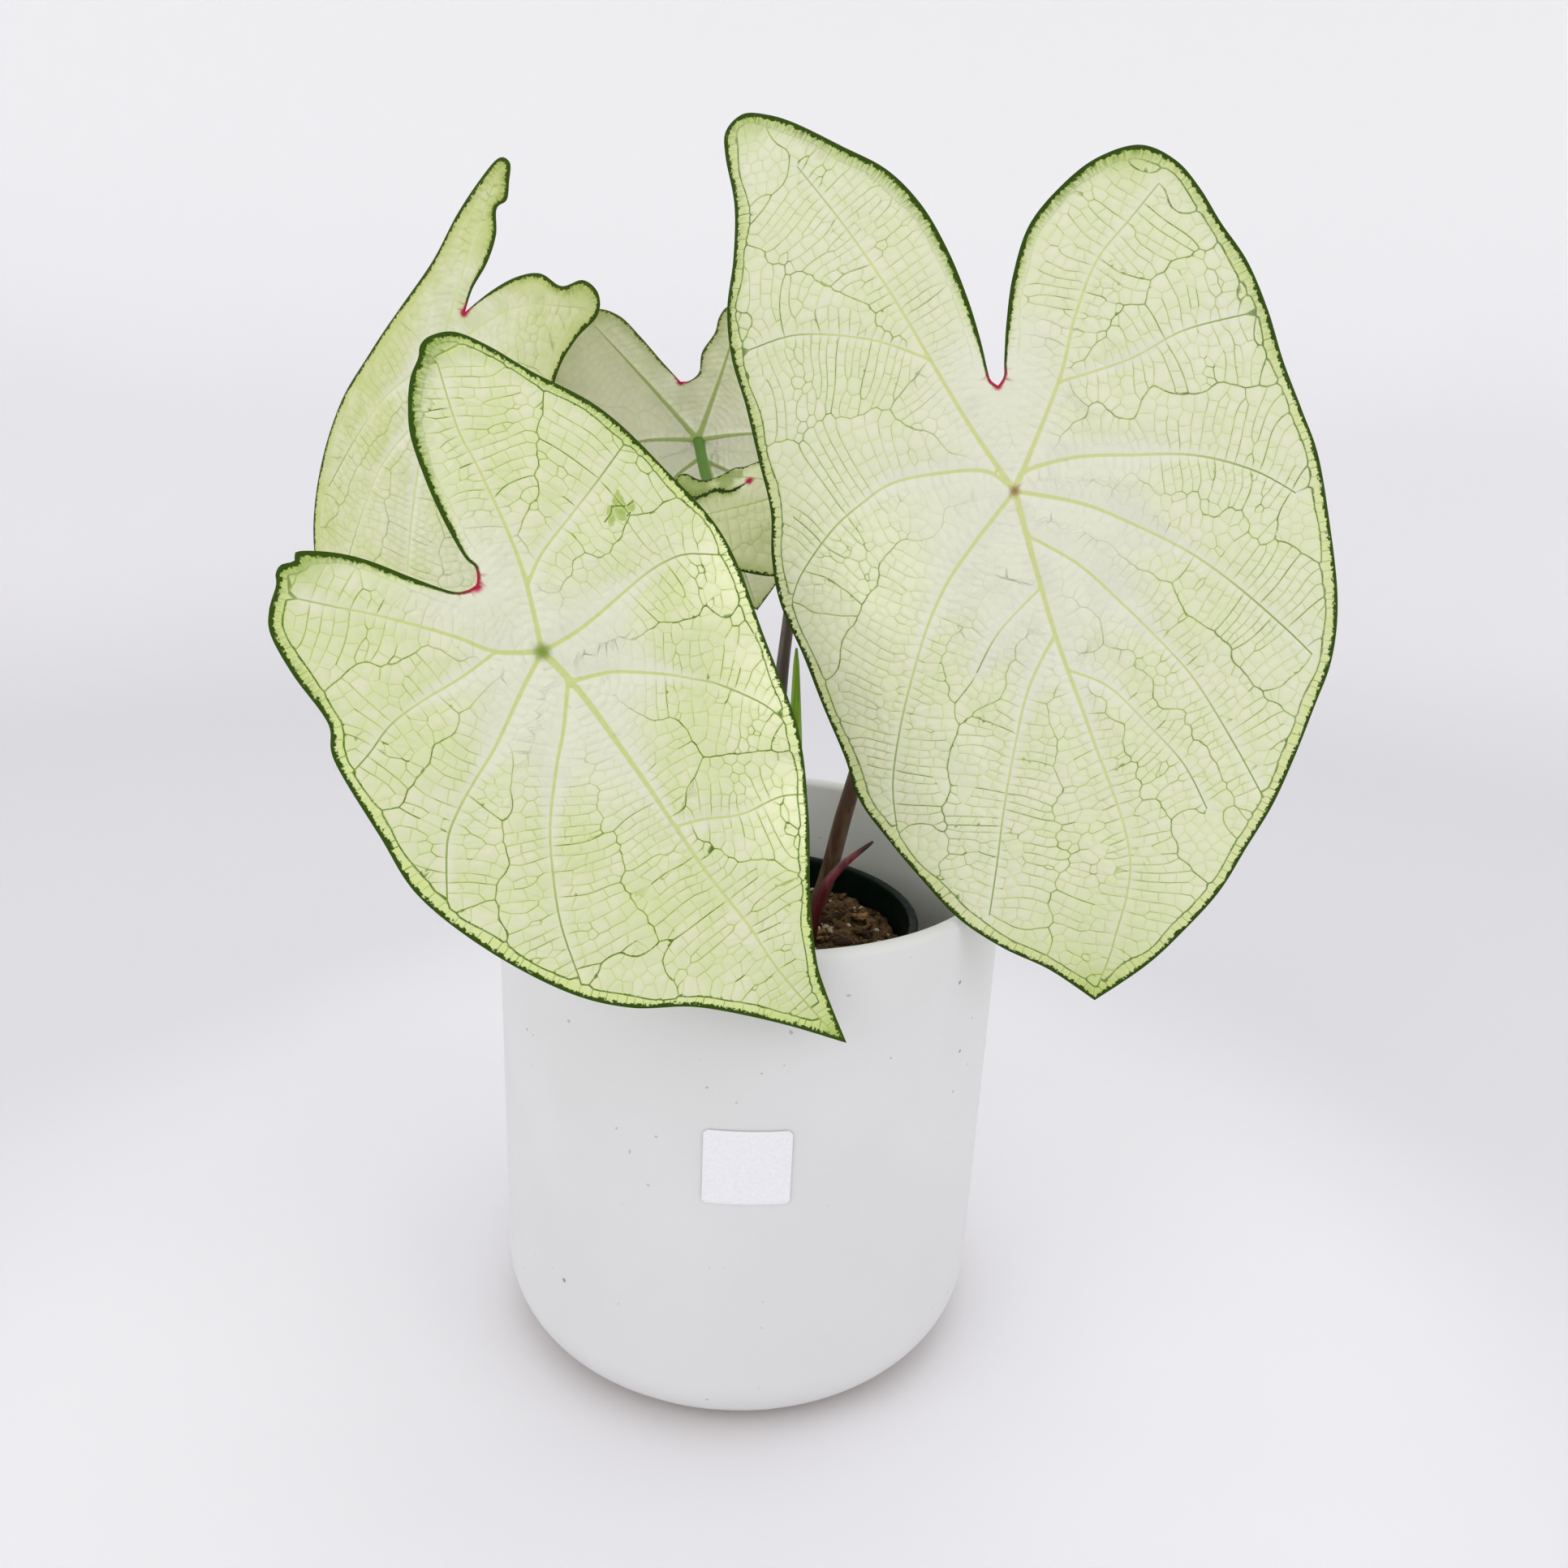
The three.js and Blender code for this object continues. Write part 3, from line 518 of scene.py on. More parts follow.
class Shader:
    """A material made of nodes. Each method adds a node and gives back its output."""

    def __init__(self, name, roughness=0.5, **constants):
        self.material = bpy.data.materials.new(name)
        self.material.use_nodes = True
        self.nodes = self.material.node_tree.nodes
        self.links = self.material.node_tree.links
        self.surface = self.nodes["Principled BSDF"]
        self.surface.inputs["Roughness"].default_value = roughness
        for socket, value in constants.items():
            self.surface.inputs[socket.replace("_", " ")].default_value = value
        self.place = self.nodes.new("ShaderNodeTexCoord").outputs["Object"]

    def plug(self, socket, value):
        """Gives a socket another node's output or a value. A tuple is a colour as seen on a screen."""
        if isinstance(value, bpy.types.NodeSocket):
            self.links.new(value, socket)
        else:
            socket.default_value = linear(*value) if isinstance(value, tuple) else value

    def attribute(self, name):
        node = self.nodes.new("ShaderNodeAttribute")
        node.attribute_name = name
        return node.outputs["Fac"]

    def math(self, operation, a, b=0.0, clamp=False):
        node = self.nodes.new("ShaderNodeMath")
        node.operation = operation
        node.use_clamp = clamp
        self.plug(node.inputs[0], a)
        self.plug(node.inputs[1], b)
        return node.outputs[0]

    def times(self, first, *others):
        for other in others:
            first = self.math("MULTIPLY", first, other)
        return first

    def plus(self, first, *others):
        for other in others:
            first = self.math("ADD", first, other)
        return first

    def between(self, value, low, high, start=0.0, end=1.0):
        """start below low, end above high, and smooth between them."""
        node = self.nodes.new("ShaderNodeMapRange")
        node.interpolation_type = "SMOOTHSTEP"
        for socket, given in zip(node.inputs, (value, low, high, start, end)):
            self.plug(socket, given)
        return node.outputs[0]

    def mix(self, share, a, b):
        node = self.nodes.new("ShaderNodeMix")
        node.data_type = "RGBA"
        self.plug(node.inputs["Factor"], share)
        self.plug(node.inputs[6], a)
        self.plug(node.inputs[7], b)
        return node.outputs[2]

    def blend(self, value, low, high, a, b):
        """Colour a where the value is low and b where it is high."""
        return self.mix(self.between(value, low, high), a, b)

    def noise(self, scale, detail=3.0, stretch=(1, 1, 1), roughness=0.5):
        mapping = self.nodes.new("ShaderNodeMapping")
        mapping.inputs["Scale"].default_value = stretch
        self.links.new(self.place, mapping.inputs["Vector"])
        node = self.nodes.new("ShaderNodeTexNoise")
        node.inputs["Scale"].default_value = scale
        node.inputs["Detail"].default_value = detail
        node.inputs["Roughness"].default_value = roughness
        self.links.new(mapping.outputs[0], node.inputs["Vector"])
        return node.outputs[0]

    def comb(self, along, across, scale):
        """Fine lines that stand across an edge, from the lengths along and away from it in millimetres."""
        joined = self.nodes.new("ShaderNodeCombineXYZ")
        self.plug(joined.inputs[0], along)
        self.plug(joined.inputs[1], self.times(across, 0.2))
        node = self.nodes.new("ShaderNodeTexNoise")
        node.inputs["Scale"].default_value = scale
        self.links.new(joined.outputs[0], node.inputs["Vector"])
        return node.outputs[0]

    def height(self):
        node = self.nodes.new("ShaderNodeSeparateXYZ")
        self.links.new(self.place, node.inputs[0])
        return node.outputs[2]

    def away(self, point):
        """The distance from a point, in millimetres like the point."""
        node = self.nodes.new("ShaderNodeVectorMath")
        node.operation = "DISTANCE"
        self.links.new(self.place, node.inputs[0])
        node.inputs[1].default_value = [c * MM for c in point]
        return self.math("DIVIDE", node.outputs["Value"], MM)

    def finish(self, colour, roughness=None, bumps=()):
        """Sets the colour and roughness, and adds bumps, each a height and its depth in millimetres."""
        self.plug(self.surface.inputs["Base Color"], colour)
        if roughness is not None:
            self.plug(self.surface.inputs["Roughness"], roughness)
        normal = None
        for height, depth in bumps:
            node = self.nodes.new("ShaderNodeBump")
            node.inputs["Distance"].default_value = depth * MM
            self.links.new(height, node.inputs["Height"])
            if normal:
                self.links.new(normal, node.inputs["Normal"])
            normal = node.outputs[0]
        if normal:
            self.links.new(normal, self.surface.inputs["Normal"])
        return self.material


BLADE_LOOKS = {
    "leaf_a": {
        "white": (228, 230, 209), "tint": (223, 228, 189), "cream": (229, 229, 200), "painted_light": (240, 244, 208),
        "band": (212, 222, 152), "green": (182, 200, 112), "vein": (209, 215, 144), "hub": (150, 108, 74),
        "line": (138, 168, 30), "dark": (68, 104, 0), "edge": (50, 74, 4),
    },
    "leaf_b": {
        "white": (227, 229, 205), "tint": (215, 222, 173), "cream": (226, 226, 192), "painted_light": (252, 255, 210),
        "band": (213, 228, 144), "green": (164, 186, 92), "vein": (203, 213, 135), "hub": (112, 140, 44),
        "line": (140, 168, 32), "dark": (70, 104, 0), "edge": (52, 78, 4),
    },
    "leaf_c": {
        "white": (232, 234, 210), "tint": (214, 222, 162), "cream": (226, 227, 186), "painted_light": (233, 235, 208),
        "band": (190, 202, 112), "green": (188, 200, 116), "vein": (214, 222, 162), "hub": (170, 194, 104),
        "line": (156, 176, 78), "dark": (92, 120, 18), "edge": (58, 80, 8),
    },
    # Leaf_d shows its paler underside. Its colours are lifted further as painted light, since the leaf stands
    # in shade behind the others.
    "leaf_d": {
        "white": (250, 251, 226), "tint": (244, 246, 208), "cream": (247, 247, 218), "painted_light": (230, 236, 196),
        "band": (206, 212, 160), "green": (188, 200, 130), "vein": (168, 186, 104), "hub": (140, 168, 76),
        "line": (190, 204, 130), "dark": (152, 172, 84), "edge": (88, 104, 40),
    },
    # Leaf_e's colours are darker and greener than the others' as painted shade, for a small leaf that stands
    # in shade.
    "leaf_e": {
        "white": (222, 225, 188), "tint": (207, 214, 160), "cream": (215, 216, 172), "painted_light": (214, 222, 164),
        "band": (168, 184, 100), "green": (128, 148, 62), "vein": (184, 196, 122), "hub": (150, 172, 90),
        "line": (154, 172, 86), "dark": (90, 116, 28), "edge": (46, 68, 12),
    },
}
RIM_WIDTHS = {"leaf_a": 0.95, "leaf_b": 0.95, "leaf_c": 0.85, "leaf_d": 0.6, "leaf_e": 0.5}
NET_STRENGTHS = {"leaf_a": 0.85, "leaf_b": 0.95, "leaf_c": 0.5, "leaf_d": 0.2, "leaf_e": 0.5}
CRIMSON = (176, 30, 66)
# The grey of the painted shade in the blades' folds
PAINTED_FOLD_SHADE = (196, 198, 180)


def shade_of(a, b, share):
    return [mixed(x, y, share) for x, y in zip(a, b)]


def blade_material(name):
    looks = BLADE_LOOKS[name]
    net_strength = NET_STRENGTHS[name]
    sh = Shader(name + "_tissue", Specular_IOR_Level=0.1)
    level, edge, tone, fade, net = map(sh.attribute, ("level", "edge", "tone", "fade", "net"))
    comb, calm = map(sh.attribute, ("comb", "calm"))
    ragged = sh.noise(620, 3)
    fine = sh.noise(1500, 2)
    # The soft ground colour: white by the main veins, greener and flecked with cream between them
    colour = sh.blend(sh.noise(140, 3), 0.42, 0.68, looks["tint"], looks["cream"])
    cloud = sh.between(sh.noise(45, 3), 0.35, 0.7, 1, 0.6)
    colour = sh.mix(sh.times(tone, cloud), looks["white"], colour)
    # Painted shade: a soft grey in the white parts, where the puckers between the veins would fall in shade
    painted_fold_shade = sh.times(sh.between(sh.noise(95, 1), 0.5, 0.66, 0, 0.22), sh.between(tone, 0.2, 0.9, 1, 0.2))
    colour = sh.mix(painted_fold_shade, colour, shade_of(linear(*looks["white"]), linear(*PAINTED_FOLD_SHADE), 0.6))
    mottle = sh.times(sh.attribute("mottle"), sh.between(sh.noise(170, 3), 0.3, 0.7, 0.3, 1))
    colour = sh.mix(mottle, colour, looks["green"])
    band = sh.math("SUBTRACT", sh.attribute("strip"), calm, clamp=True)
    colour = sh.mix(sh.times(band, sh.between(ragged, 0.2, 0.8, 0.5, 1)), colour, looks["band"])
    # Painted light: brighter where light would shine through the blade, and where the blade lies in the shade
    # of another.
    colour = sh.mix(sh.attribute("painted_light"), colour, looks["painted_light"])
    # Green at the tips, the scar and the listed patches. The main tip's wide green and leaf_e's patches are
    # partly painted shade.
    colour = sh.mix(sh.attribute("green"), colour, looks["green"])
    # On the lobes the edge runs inwards as a comb of fine lines
    colour = sh.mix(sh.times(comb, 0.75), colour, looks["green"])
    lines = sh.between(sh.comb(sh.attribute("along"), edge, 1.7), 0.42, 0.62, 0.1, 0.72)
    colour = sh.mix(sh.times(comb, lines), colour, looks["dark"])
    # A soft light green along the net's lines
    near = sh.times(sh.between(net, 0.15, 0.8, 0.46, 0), net_strength, sh.between(fade, 0.3, 1))
    colour = sh.mix(sh.times(near, sh.between(level, 0, 0.8, 0.5, 1)), colour, looks["band"])
    # The net, whose stronger veins are wider and darker
    half = sh.plus(sh.times(level, 0.078), 0.075)
    line = sh.between(net, sh.times(half, 0.4), sh.times(half, 1.6), 1, 0)
    broken = sh.noise(240, 2)
    whole = sh.between(broken, 0.34, 0.6, sh.between(level, 0.1, 0.6, 0.4, 0.8), 1)
    strength = sh.times(fade, sh.between(level, 0, 0.5, 0.36, 1), whole, net_strength)
    depth = sh.plus(level, sh.between(broken, 0.35, 0.75, -0.1, 0.25))
    shade = sh.blend(depth, 0.1, 1, looks["line"], looks["dark"])
    colour = sh.mix(sh.times(line, strength), colour, shade)
    # The main veins, darker towards their ends and where they meet
    far = shade_of(linear(*looks["line"]), linear(*looks["dark"]), 0.25)
    vein = sh.mix(sh.attribute("vein_end"), looks["vein"], far)
    colour = sh.mix(sh.between(sh.attribute("vein"), 0.6, 1.3, 0.9, 0), colour, vein)
    colour = sh.mix(sh.times(sh.attribute("hub"), 0.9), colour, looks["hub"])
    # The dark margin, ragged on its inside, and the crimson notch
    rough_edge = sh.plus(sh.between(fine, 0.3, 0.7, -0.3, 0.3), sh.between(ragged, 0.3, 0.7, -0.25, 0.25))
    rough_edge = sh.times(rough_edge, sh.between(calm, 0, 0.8, 1, 0.2))
    rim = sh.plus(edge, rough_edge, sh.times(calm, 0.3), sh.times(comb, -0.25))
    width = RIM_WIDTHS[name]
    colour = sh.mix(sh.between(rim, width - 0.2, width + 0.2, 1, 0), colour, looks["edge"])
    colour = sh.mix(sh.attribute("blush"), colour, CRIMSON)
    # Soft ribs that run off the main veins
    waves = sh.plus(sh.times(sh.attribute("rib"), 2.7), sh.times(sh.noise(150, 2), 8))
    ribs = sh.times(sh.math("SINE", waves), sh.attribute("ribbed"))
    roughness = sh.between(sh.noise(300, 2), 0.3, 0.7, 0.42, 0.56)
    return sh.finish(colour, roughness, [(sh.noise(1400, 2), 0.04), (sh.noise(420, 3), 0.06), (ribs, 0.06)])


# The blades

class Leaf:
    def __init__(self, name, data):
        self.name = name
        self.data = data
        self.length = -data["left"][0][1]
        tilt, pan, spin = (math.radians(data[key]) for key in ("tilt", "pan", "spin"))
        self.origin = np.array(data["junction"], float)
        normal = Vector((math.sin(pan) * math.cos(tilt), -math.cos(pan) * math.cos(tilt), math.sin(tilt)))
        up = (Vector((0, 0, 1)) - normal * normal.z).normalized()
        right = up.cross(normal).normalized()
        turn = Matrix.Rotation(spin, 3, normal)
        self.normal = np.array(normal)
        self.up = np.array(turn @ up)
        self.right = np.array(turn @ right)
        self.random = np.random.default_rng(sum(map(ord, name)))
        self.column_levels = self.random.uniform(*COLUMN_LEVELS, LEVEL_COUNT)
        strong = np.cumsum(self.random.integers(*STRONG_GAPS, STRONG_COUNT))
        self.column_levels[strong] = self.random.uniform(*STRONG_LEVELS, STRONG_COUNT)
        self.collector_levels = self.random.uniform(*COLLECTOR_LEVELS, LEVEL_COUNT)
        right_side = flat_curve(data["right"], MARGIN_STEP)
        left_side = flat_curve(data["left"], MARGIN_STEP)[::-1]
        self.margin = np.vstack([right_side[:-1], left_side[:-1]])
        self.notch = np.array(data["left"][-1], float)
        lobe_tips = [side[np.argmax(side[:, 1])] for side in (right_side, left_side)]
        self.tips = [self.margin[0], *lobe_tips]
        self.close_margin = evenly(np.vstack([self.margin, self.margin[:1]]), CLOSE_STEP)
        self.margin_tree = tree_of(self.close_margin)
        self.margin_length = lengths_along(self.close_margin)[-1]
        ends, _ = nearest(self.margin_tree, lobe_tips)
        self.lobe_ends = ends * self.margin_length / (len(self.close_margin) - 1)
        self.veins = []
        self.lay_veins()

    def height(self, flat):
        """How far the bent blade lies in front of its flat plane."""
        u, v = flat.T
        drop = self.data["drop"]
        across = np.where(u < 0, drop["left"], drop["right"])
        along = np.where(v < 0, drop["tip"], drop["lobe"])
        ripple = self.data["wave"] * (u * u + v * v) * np.sin(self.data["waves"] * np.arctan2(u, -v))
        return (ripple - across * u * u - along * v * v) / 1e4

    def placed(self, flat, lift):
        u, v = flat.T
        out = self.height(flat) + lift
        return self.origin + np.outer(u, self.right) + np.outer(v, self.up) + np.outer(out, self.normal)

    def lay_veins(self):
        """Turns each main vein to close points, with its width and the length from the junction at each."""
        points = []
        details = []
        for width, route in self.data["veins"]:
            route = np.array(route, float)
            if points and np.any(route[0] != 0):
                before = np.vstack(points)
                route[0] = before[np.argmin(away_from(before, route[0]))]
            line = flat_curve(route, CLOSE_STEP)
            lengths = lengths_along(line)
            share = lengths / lengths[-1]
            widths = mixed(width, VEIN_END_WIDTH, share ** 0.7)
            index = len(self.veins)
            self.veins.append({"line": line, "lengths": lengths, "widths": widths})
            points.append(line)
            from_junction = lengths + np.linalg.norm(route[0])
            details.append(np.column_stack([np.full(len(line), index), from_junction, widths, share]))
        self.vein_points = np.vstack(points)
        self.vein_details = np.vstack(details)
        self.vein_tree = tree_of(self.vein_points)

    def vein_side(self, flat, index):
        """Which side of its nearest main vein each point lies on."""
        ahead = np.minimum(index + 1, len(self.vein_points) - 1)
        along = self.vein_points[ahead] - self.vein_points[index - 1]
        return cross(along, flat - self.vein_points[index]) > 0

    # One point for each cell of the vein net: a row inside the margin, columns of cells that stand on the
    # main veins, and a loose filling where those leave room
    def cell_points(self):
        loop = self.close_margin
        total = self.margin_length
        at = np.cumsum(self.random.uniform(*RING_STEPS, round(total)))
        at = at[at < total - RING_STEPS[0]]
        lengths = lengths_along(loop)
        base = at_length(loop, lengths, at)
        along = at_length(loop, lengths, (at + 0.7) % total) - at_length(loop, lengths, (at - 0.7) % total)
        ring = base + left_of(along) * RING_INSET
        _, away = nearest(self.margin_tree, ring)
        cells = Spaced(CELL_CLEAR)
        kept = [i for i in np.flatnonzero(away > 0.9 * RING_INSET) if cells.add(ring[i], RING_CLEAR)]
        self.ring_at = at[kept]
        self.columns = [-1] * len(kept)

        columns = []
        for vein in self.veins:
            places = np.arange(0.5 * CELL_ALONG, vein["lengths"][-1], CELL_ALONG)
            places = places + self.random.uniform(-0.5, 0.5, len(places))
            centre = at_length(vein["line"], vein["lengths"], places)
            ahead = at_length(vein["line"], vein["lengths"], places + 1.2)
            across = left_of(ahead - at_length(vein["line"], vein["lengths"], places - 1.2))
            for side in (-1, 1):
                start = self.random.uniform(0.65, 1.15, len(places)) * CELL_ACROSS
                columns.append((centre, side * across, start))
        for number, (centre, side_way, _) in enumerate(columns):
            self.add_cells(cells, centre + side_way * FIRST_CELL, number)
        for row in range(CELL_ROWS):
            for number, (centre, side_way, start) in enumerate(columns):
                loose = self.random.uniform(-0.5, 0.5, len(start))
                reach = FIRST_CELL + start + row * CELL_ACROSS + loose
                self.add_cells(cells, centre + side_way * reach[:, None], number)
        places = [np.arange(*ends, FILL_STEP) for ends in zip(self.margin.min(0), self.margin.max(0))]
        grid = np.stack(np.meshgrid(*places), -1).reshape(-1, 2)
        self.add_cells(cells, grid + self.random.uniform(-0.4, 0.4, grid.shape), None)
        return np.array(cells.points)

    def add_cells(self, cells, points, side_number):
        """Adds the points that lie where their main vein feeds the blade. Both sides of each main vein
        have a number, which with the place along the vein makes the column's number."""
        moved = self.warped(points)
        at, edge = nearest(self.margin_tree, moved)
        _, away = nearest(self.vein_tree, moved)
        owner, _ = self.owners(moved)
        inside = self.is_inside(moved, at)
        for i, point in enumerate(moved):
            if not inside[i] or edge[i] < RING_INSET + 1.6 or away[i] < 1.3:
                continue
            if side_number is not None and owner[i] // 2 != side_number // 2:
                continue
            if cells.add(point, FILL_CLEAR if side_number is None else None):
                self.columns.append(-1 if side_number is None else side_number * COLUMNS_A_SIDE + i)

    def warped(self, points):
        """Moves points smoothly and by less near a main vein, so that the net's lines bend a little."""
        _, away = nearest(self.vein_tree, points)
        share = smooth(1.5, 7, away)[:, None]
        return points + 1.7 * share * np.column_stack([drift(points, 7, 21), drift(points, 8, 21)])

    def is_inside(self, points, at):
        last = len(self.close_margin) - 1
        along = self.close_margin[np.minimum(at + 2, last)] - self.close_margin[np.maximum(at - 2, 0)]
        return cross(along, points - self.close_margin[at]) > 0

    def owners(self, cells):
        """For each cell, the main vein and side of it that feed the cell, as one number, and the
        distance from that vein."""
        _, away = nearest(self.vein_tree, cells)
        share = smooth(1.5, 6, away)[:, None]
        moved = cells + 1.6 * share * np.column_stack([drift(cells, 3, 9), drift(cells, 4, 9)])
        index, away = nearest(self.vein_tree, moved)
        side = self.vein_details[index, 0] * 2 + self.vein_side(moved, index)
        return side.astype(int), away

    # The net: its points, its lines as pairs of points with a level each, and the places on main veins
    def net(self):
        cells = self.cell_points()
        ring_count = len(self.ring_at)
        loop = list(range(ring_count))
        coords, _, faces, origins, _, _ = delaunay_2d_cdt([Vector(p) for p in cells], [], [loop], 1, 1e-5)
        coords = np.array([tuple(c) for c in coords])
        source = np.array([o[0] if o else -1 for o in origins])
        column = np.where(source >= 0, np.array(self.columns)[source], -1)
        ring = (source >= 0) & (source < ring_count)
        faces = np.array([f for f in faces if len(f) == 3])
        points = self.net_points(coords, faces, column, ring)

        pairs = {}
        for t, face in enumerate(faces):
            for a, b in ((face[0], face[1]), (face[1], face[2]), (face[2], face[0])):
                pairs.setdefault((min(a, b), max(a, b)), []).append(t)
        keys = np.array(list(pairs))
        crossed = self.crossings(coords[keys[:, 0]], coords[keys[:, 1]])
        owner, _ = self.owners(coords)
        snapped = {}
        lines = []
        rungs = []
        for (a, b), vein, sharing in zip(keys, crossed, pairs.values()):
            if vein >= 0:
                for t in sharing:
                    snapped.setdefault(t, vein)
            elif len(sharing) == 2:
                lines.append((*sharing, self.line_level(a, b, column, ring, owner)))
            elif ring[a] and ring[b]:
                rungs.append((sharing[0], self.rung_end(self.ring_at[source[a]], self.ring_at[source[b]])))
        self.straighten(points, lines, set(snapped) | {t for t, _ in rungs})
        on_vein = []
        for t in sorted(snapped):
            line = self.veins[snapped[t]]["line"]
            i = int(np.argmin(away_from(line, points[t])))
            points[t] = line[i]
            on_vein.append((snapped[t], i, t))
        return coords, faces, points, lines, rungs, on_vein

    def straighten(self, points, lines, held):
        """Pulls each free point of the net towards its neighbours, most along the strongest lines."""
        start, end = np.array([(a, b) for a, b, _ in lines]).T
        pull = np.array([level for _, _, level in lines]) ** 2 + 0.002
        free = np.ones(len(points))
        free[list(held)] = 0
        for _ in range(6):
            total = np.zeros(len(points))
            goal = np.zeros_like(points)
            for here, there in ((start, end), (end, start)):
                np.add.at(total, here, pull)
                np.add.at(goal, here, pull[:, None] * points[there])
            goal /= np.maximum(total, 1e-6)[:, None]
            share = 0.5 * free * smooth(0.05, 0.9, total)
            points += share[:, None] * (goal - points)

    def line_level(self, a, b, column, ring, owner):
        """How strong the net's line between two cells is, from 0 to about 1."""
        if ring[a] != ring[b]:
            return SUBMARGIN_LEVEL
        if ring[a]:
            return FINE_LEVELS[0]
        if owner[a] != owner[b]:
            return self.collector_levels[owner[a] * owner[b] % len(self.collector_levels)]
        if column[a] < 0 or column[b] < 0 or column[a] == column[b]:
            return RUNG_LEVEL
        return self.column_levels[min(column[a], column[b]) % len(self.column_levels)]

    def net_points(self, coords, faces, column, ring):
        """The net's point for each triangle of cells. Two cells of one column put it halfway to the third
        cell, so that the line between two columns runs straight."""
        points = rounded_middles(coords[faces])
        for turn in range(3):
            first, second, third = np.roll(faces, turn, axis=1).T
            same = (column[first] == column[second]) & (column[first] >= 0) & (column[third] != column[first])
            middle = (coords[first] + coords[second]) / 2
            side_way = left_of(coords[second] - coords[first])
            reach = ((coords[third] - middle) * side_way).sum(1)
            points = np.where(same[:, None], middle + side_way * reach[:, None] / 2, points)
        in_ring = ring[faces].sum(1)
        by_margin = (in_ring > 0) & (in_ring < 3)
        inner = np.where(in_ring == 1, 1.0, 0.0)[:, None] * ~ring[faces]
        outer = np.where(in_ring == 2, 1.0, 0.0)[:, None] * ring[faces]
        middles = (coords[faces] * (inner + outer)[..., None]).sum(1) / 2
        at, away = nearest(self.margin_tree, middles)
        feet = self.close_margin[at]
        inset = self.band_width(middles)
        pushed = feet + (middles - feet) * (inset / np.maximum(away, 0.5))[:, None]
        points = points + self.random.uniform(-0.1, 0.1, points.shape)
        return np.where(by_margin[:, None], pushed, points)

    def band_width(self, flat):
        """How far the vein that follows the margin stays inside it."""
        return self.data["band"] * (1 + 0.17 * drift(flat, 6, 9))

    def rung_end(self, a, b):
        """The margin's point halfway between two places along it."""
        middle = (a + b) / 2
        if abs(a - b) > self.margin_length / 2:
            middle = (middle + self.margin_length / 2) % self.margin_length
        last = len(self.close_margin) - 1
        return self.close_margin[min(last, round(middle / self.margin_length * last))]

    def crossings(self, start, end):
        """The main vein that each short line crosses, or -1."""
        found = np.full(len(start), -1)
        for index, vein in enumerate(self.veins):
            line = vein["line"][::4]
            line = np.vstack([line, vein["line"][-1:]])
            low = line.min(0) - 4
            high = line.max(0) + 4
            close = np.flatnonzero(np.all((start > low) & (start < high), axis=1) & (found < 0))
            for block in np.array_split(close, max(1, len(close) // 1500)):
                p = start[block][:, None]
                r = end[block][:, None] - p
                q = line[None, :-1]
                s = line[None, 1:] - q
                steep = cross(r, s)
                steep = np.where(np.abs(steep) < 1e-12, 1e-12, steep)
                t = cross(q - p, s) / steep
                w = cross(q - p, r) / steep
                hit = ((t >= 0) & (t <= 1) & (w >= 0) & (w <= 1)).any(1)
                found[block[hit]] = index
        return found

    # The flat triangles of the blade, with the net, the main veins and the margin along their sides
    def flat_mesh(self):
        cells, corners, points, lines, rungs, on_vein = self.net()
        plan = Plan()
        boundary = plan.chain([*self.margin, self.margin[0]])
        node_of = self.add_veins(plan, on_vein)
        samples = []
        levels = []

        def node(t):
            if t not in node_of:
                node_of[t] = plan.point(points[t])
            return node_of[t]

        def join(a, b, level):
            if a != b:
                plan.edges.append((a, b))
                samples.append(evenly(np.array([plan.points[a], plan.points[b]]), LINE_SAMPLE_STEP))
                levels.append(np.full(len(samples[-1]), level))

        for a, b, level in lines:
            join(node(a), node(b), level)
        for t, end in rungs:
            join(node(t), plan.point(end), self.random.uniform(*FINE_LEVELS))
        for start, end in self.data.get("cracks", ()):
            join(plan.point(start), plan.point(end), SUBMARGIN_LEVEL)
        self.add_vein_sides(plan)
        self.add_margin_rows(plan)
        self.add_line_sides(plan, cells, corners, points, {t for _, _, t in on_vein})
        turns = np.arange(0, 2 * math.pi, 0.5)
        rings = [(r * math.cos(t), r * math.sin(t)) for r in CLOSE_RINGS for t in turns]
        by_notch = self.notch + np.array(rings)
        at, edge = nearest(self.margin_tree, by_notch)
        inside = self.is_inside(by_notch, at) & (edge > CLOSE_RING_CLEAR)
        for point in rings + list(by_notch[inside]):
            plan.point(point, CLOSE_RING_CLEAR)
        for cell in cells:
            plan.point(cell, CELL_POINT_CLEAR)
        self.add_scar(plan)
        self.net_tree = tree_of(np.vstack(samples))
        self.net_levels = np.concatenate(levels)
        return plan.triangles(boundary)

    def add_scar(self, plan):
        """Adds points close together over the blade's scar, if it has one, to keep its edge sharp."""
        for start, first, end, last in self.data.get("scar", ()):
            half = max(first, last)
            spread = np.arange(-half - 2 * SCAR_STEP, half + 0.7, SCAR_STEP)
            for middle in evenly(np.array([start, end]), SCAR_STEP):
                for across in spread:
                    for along in spread:
                        plan.point(middle + (across, along), SCAR_CLEAR)

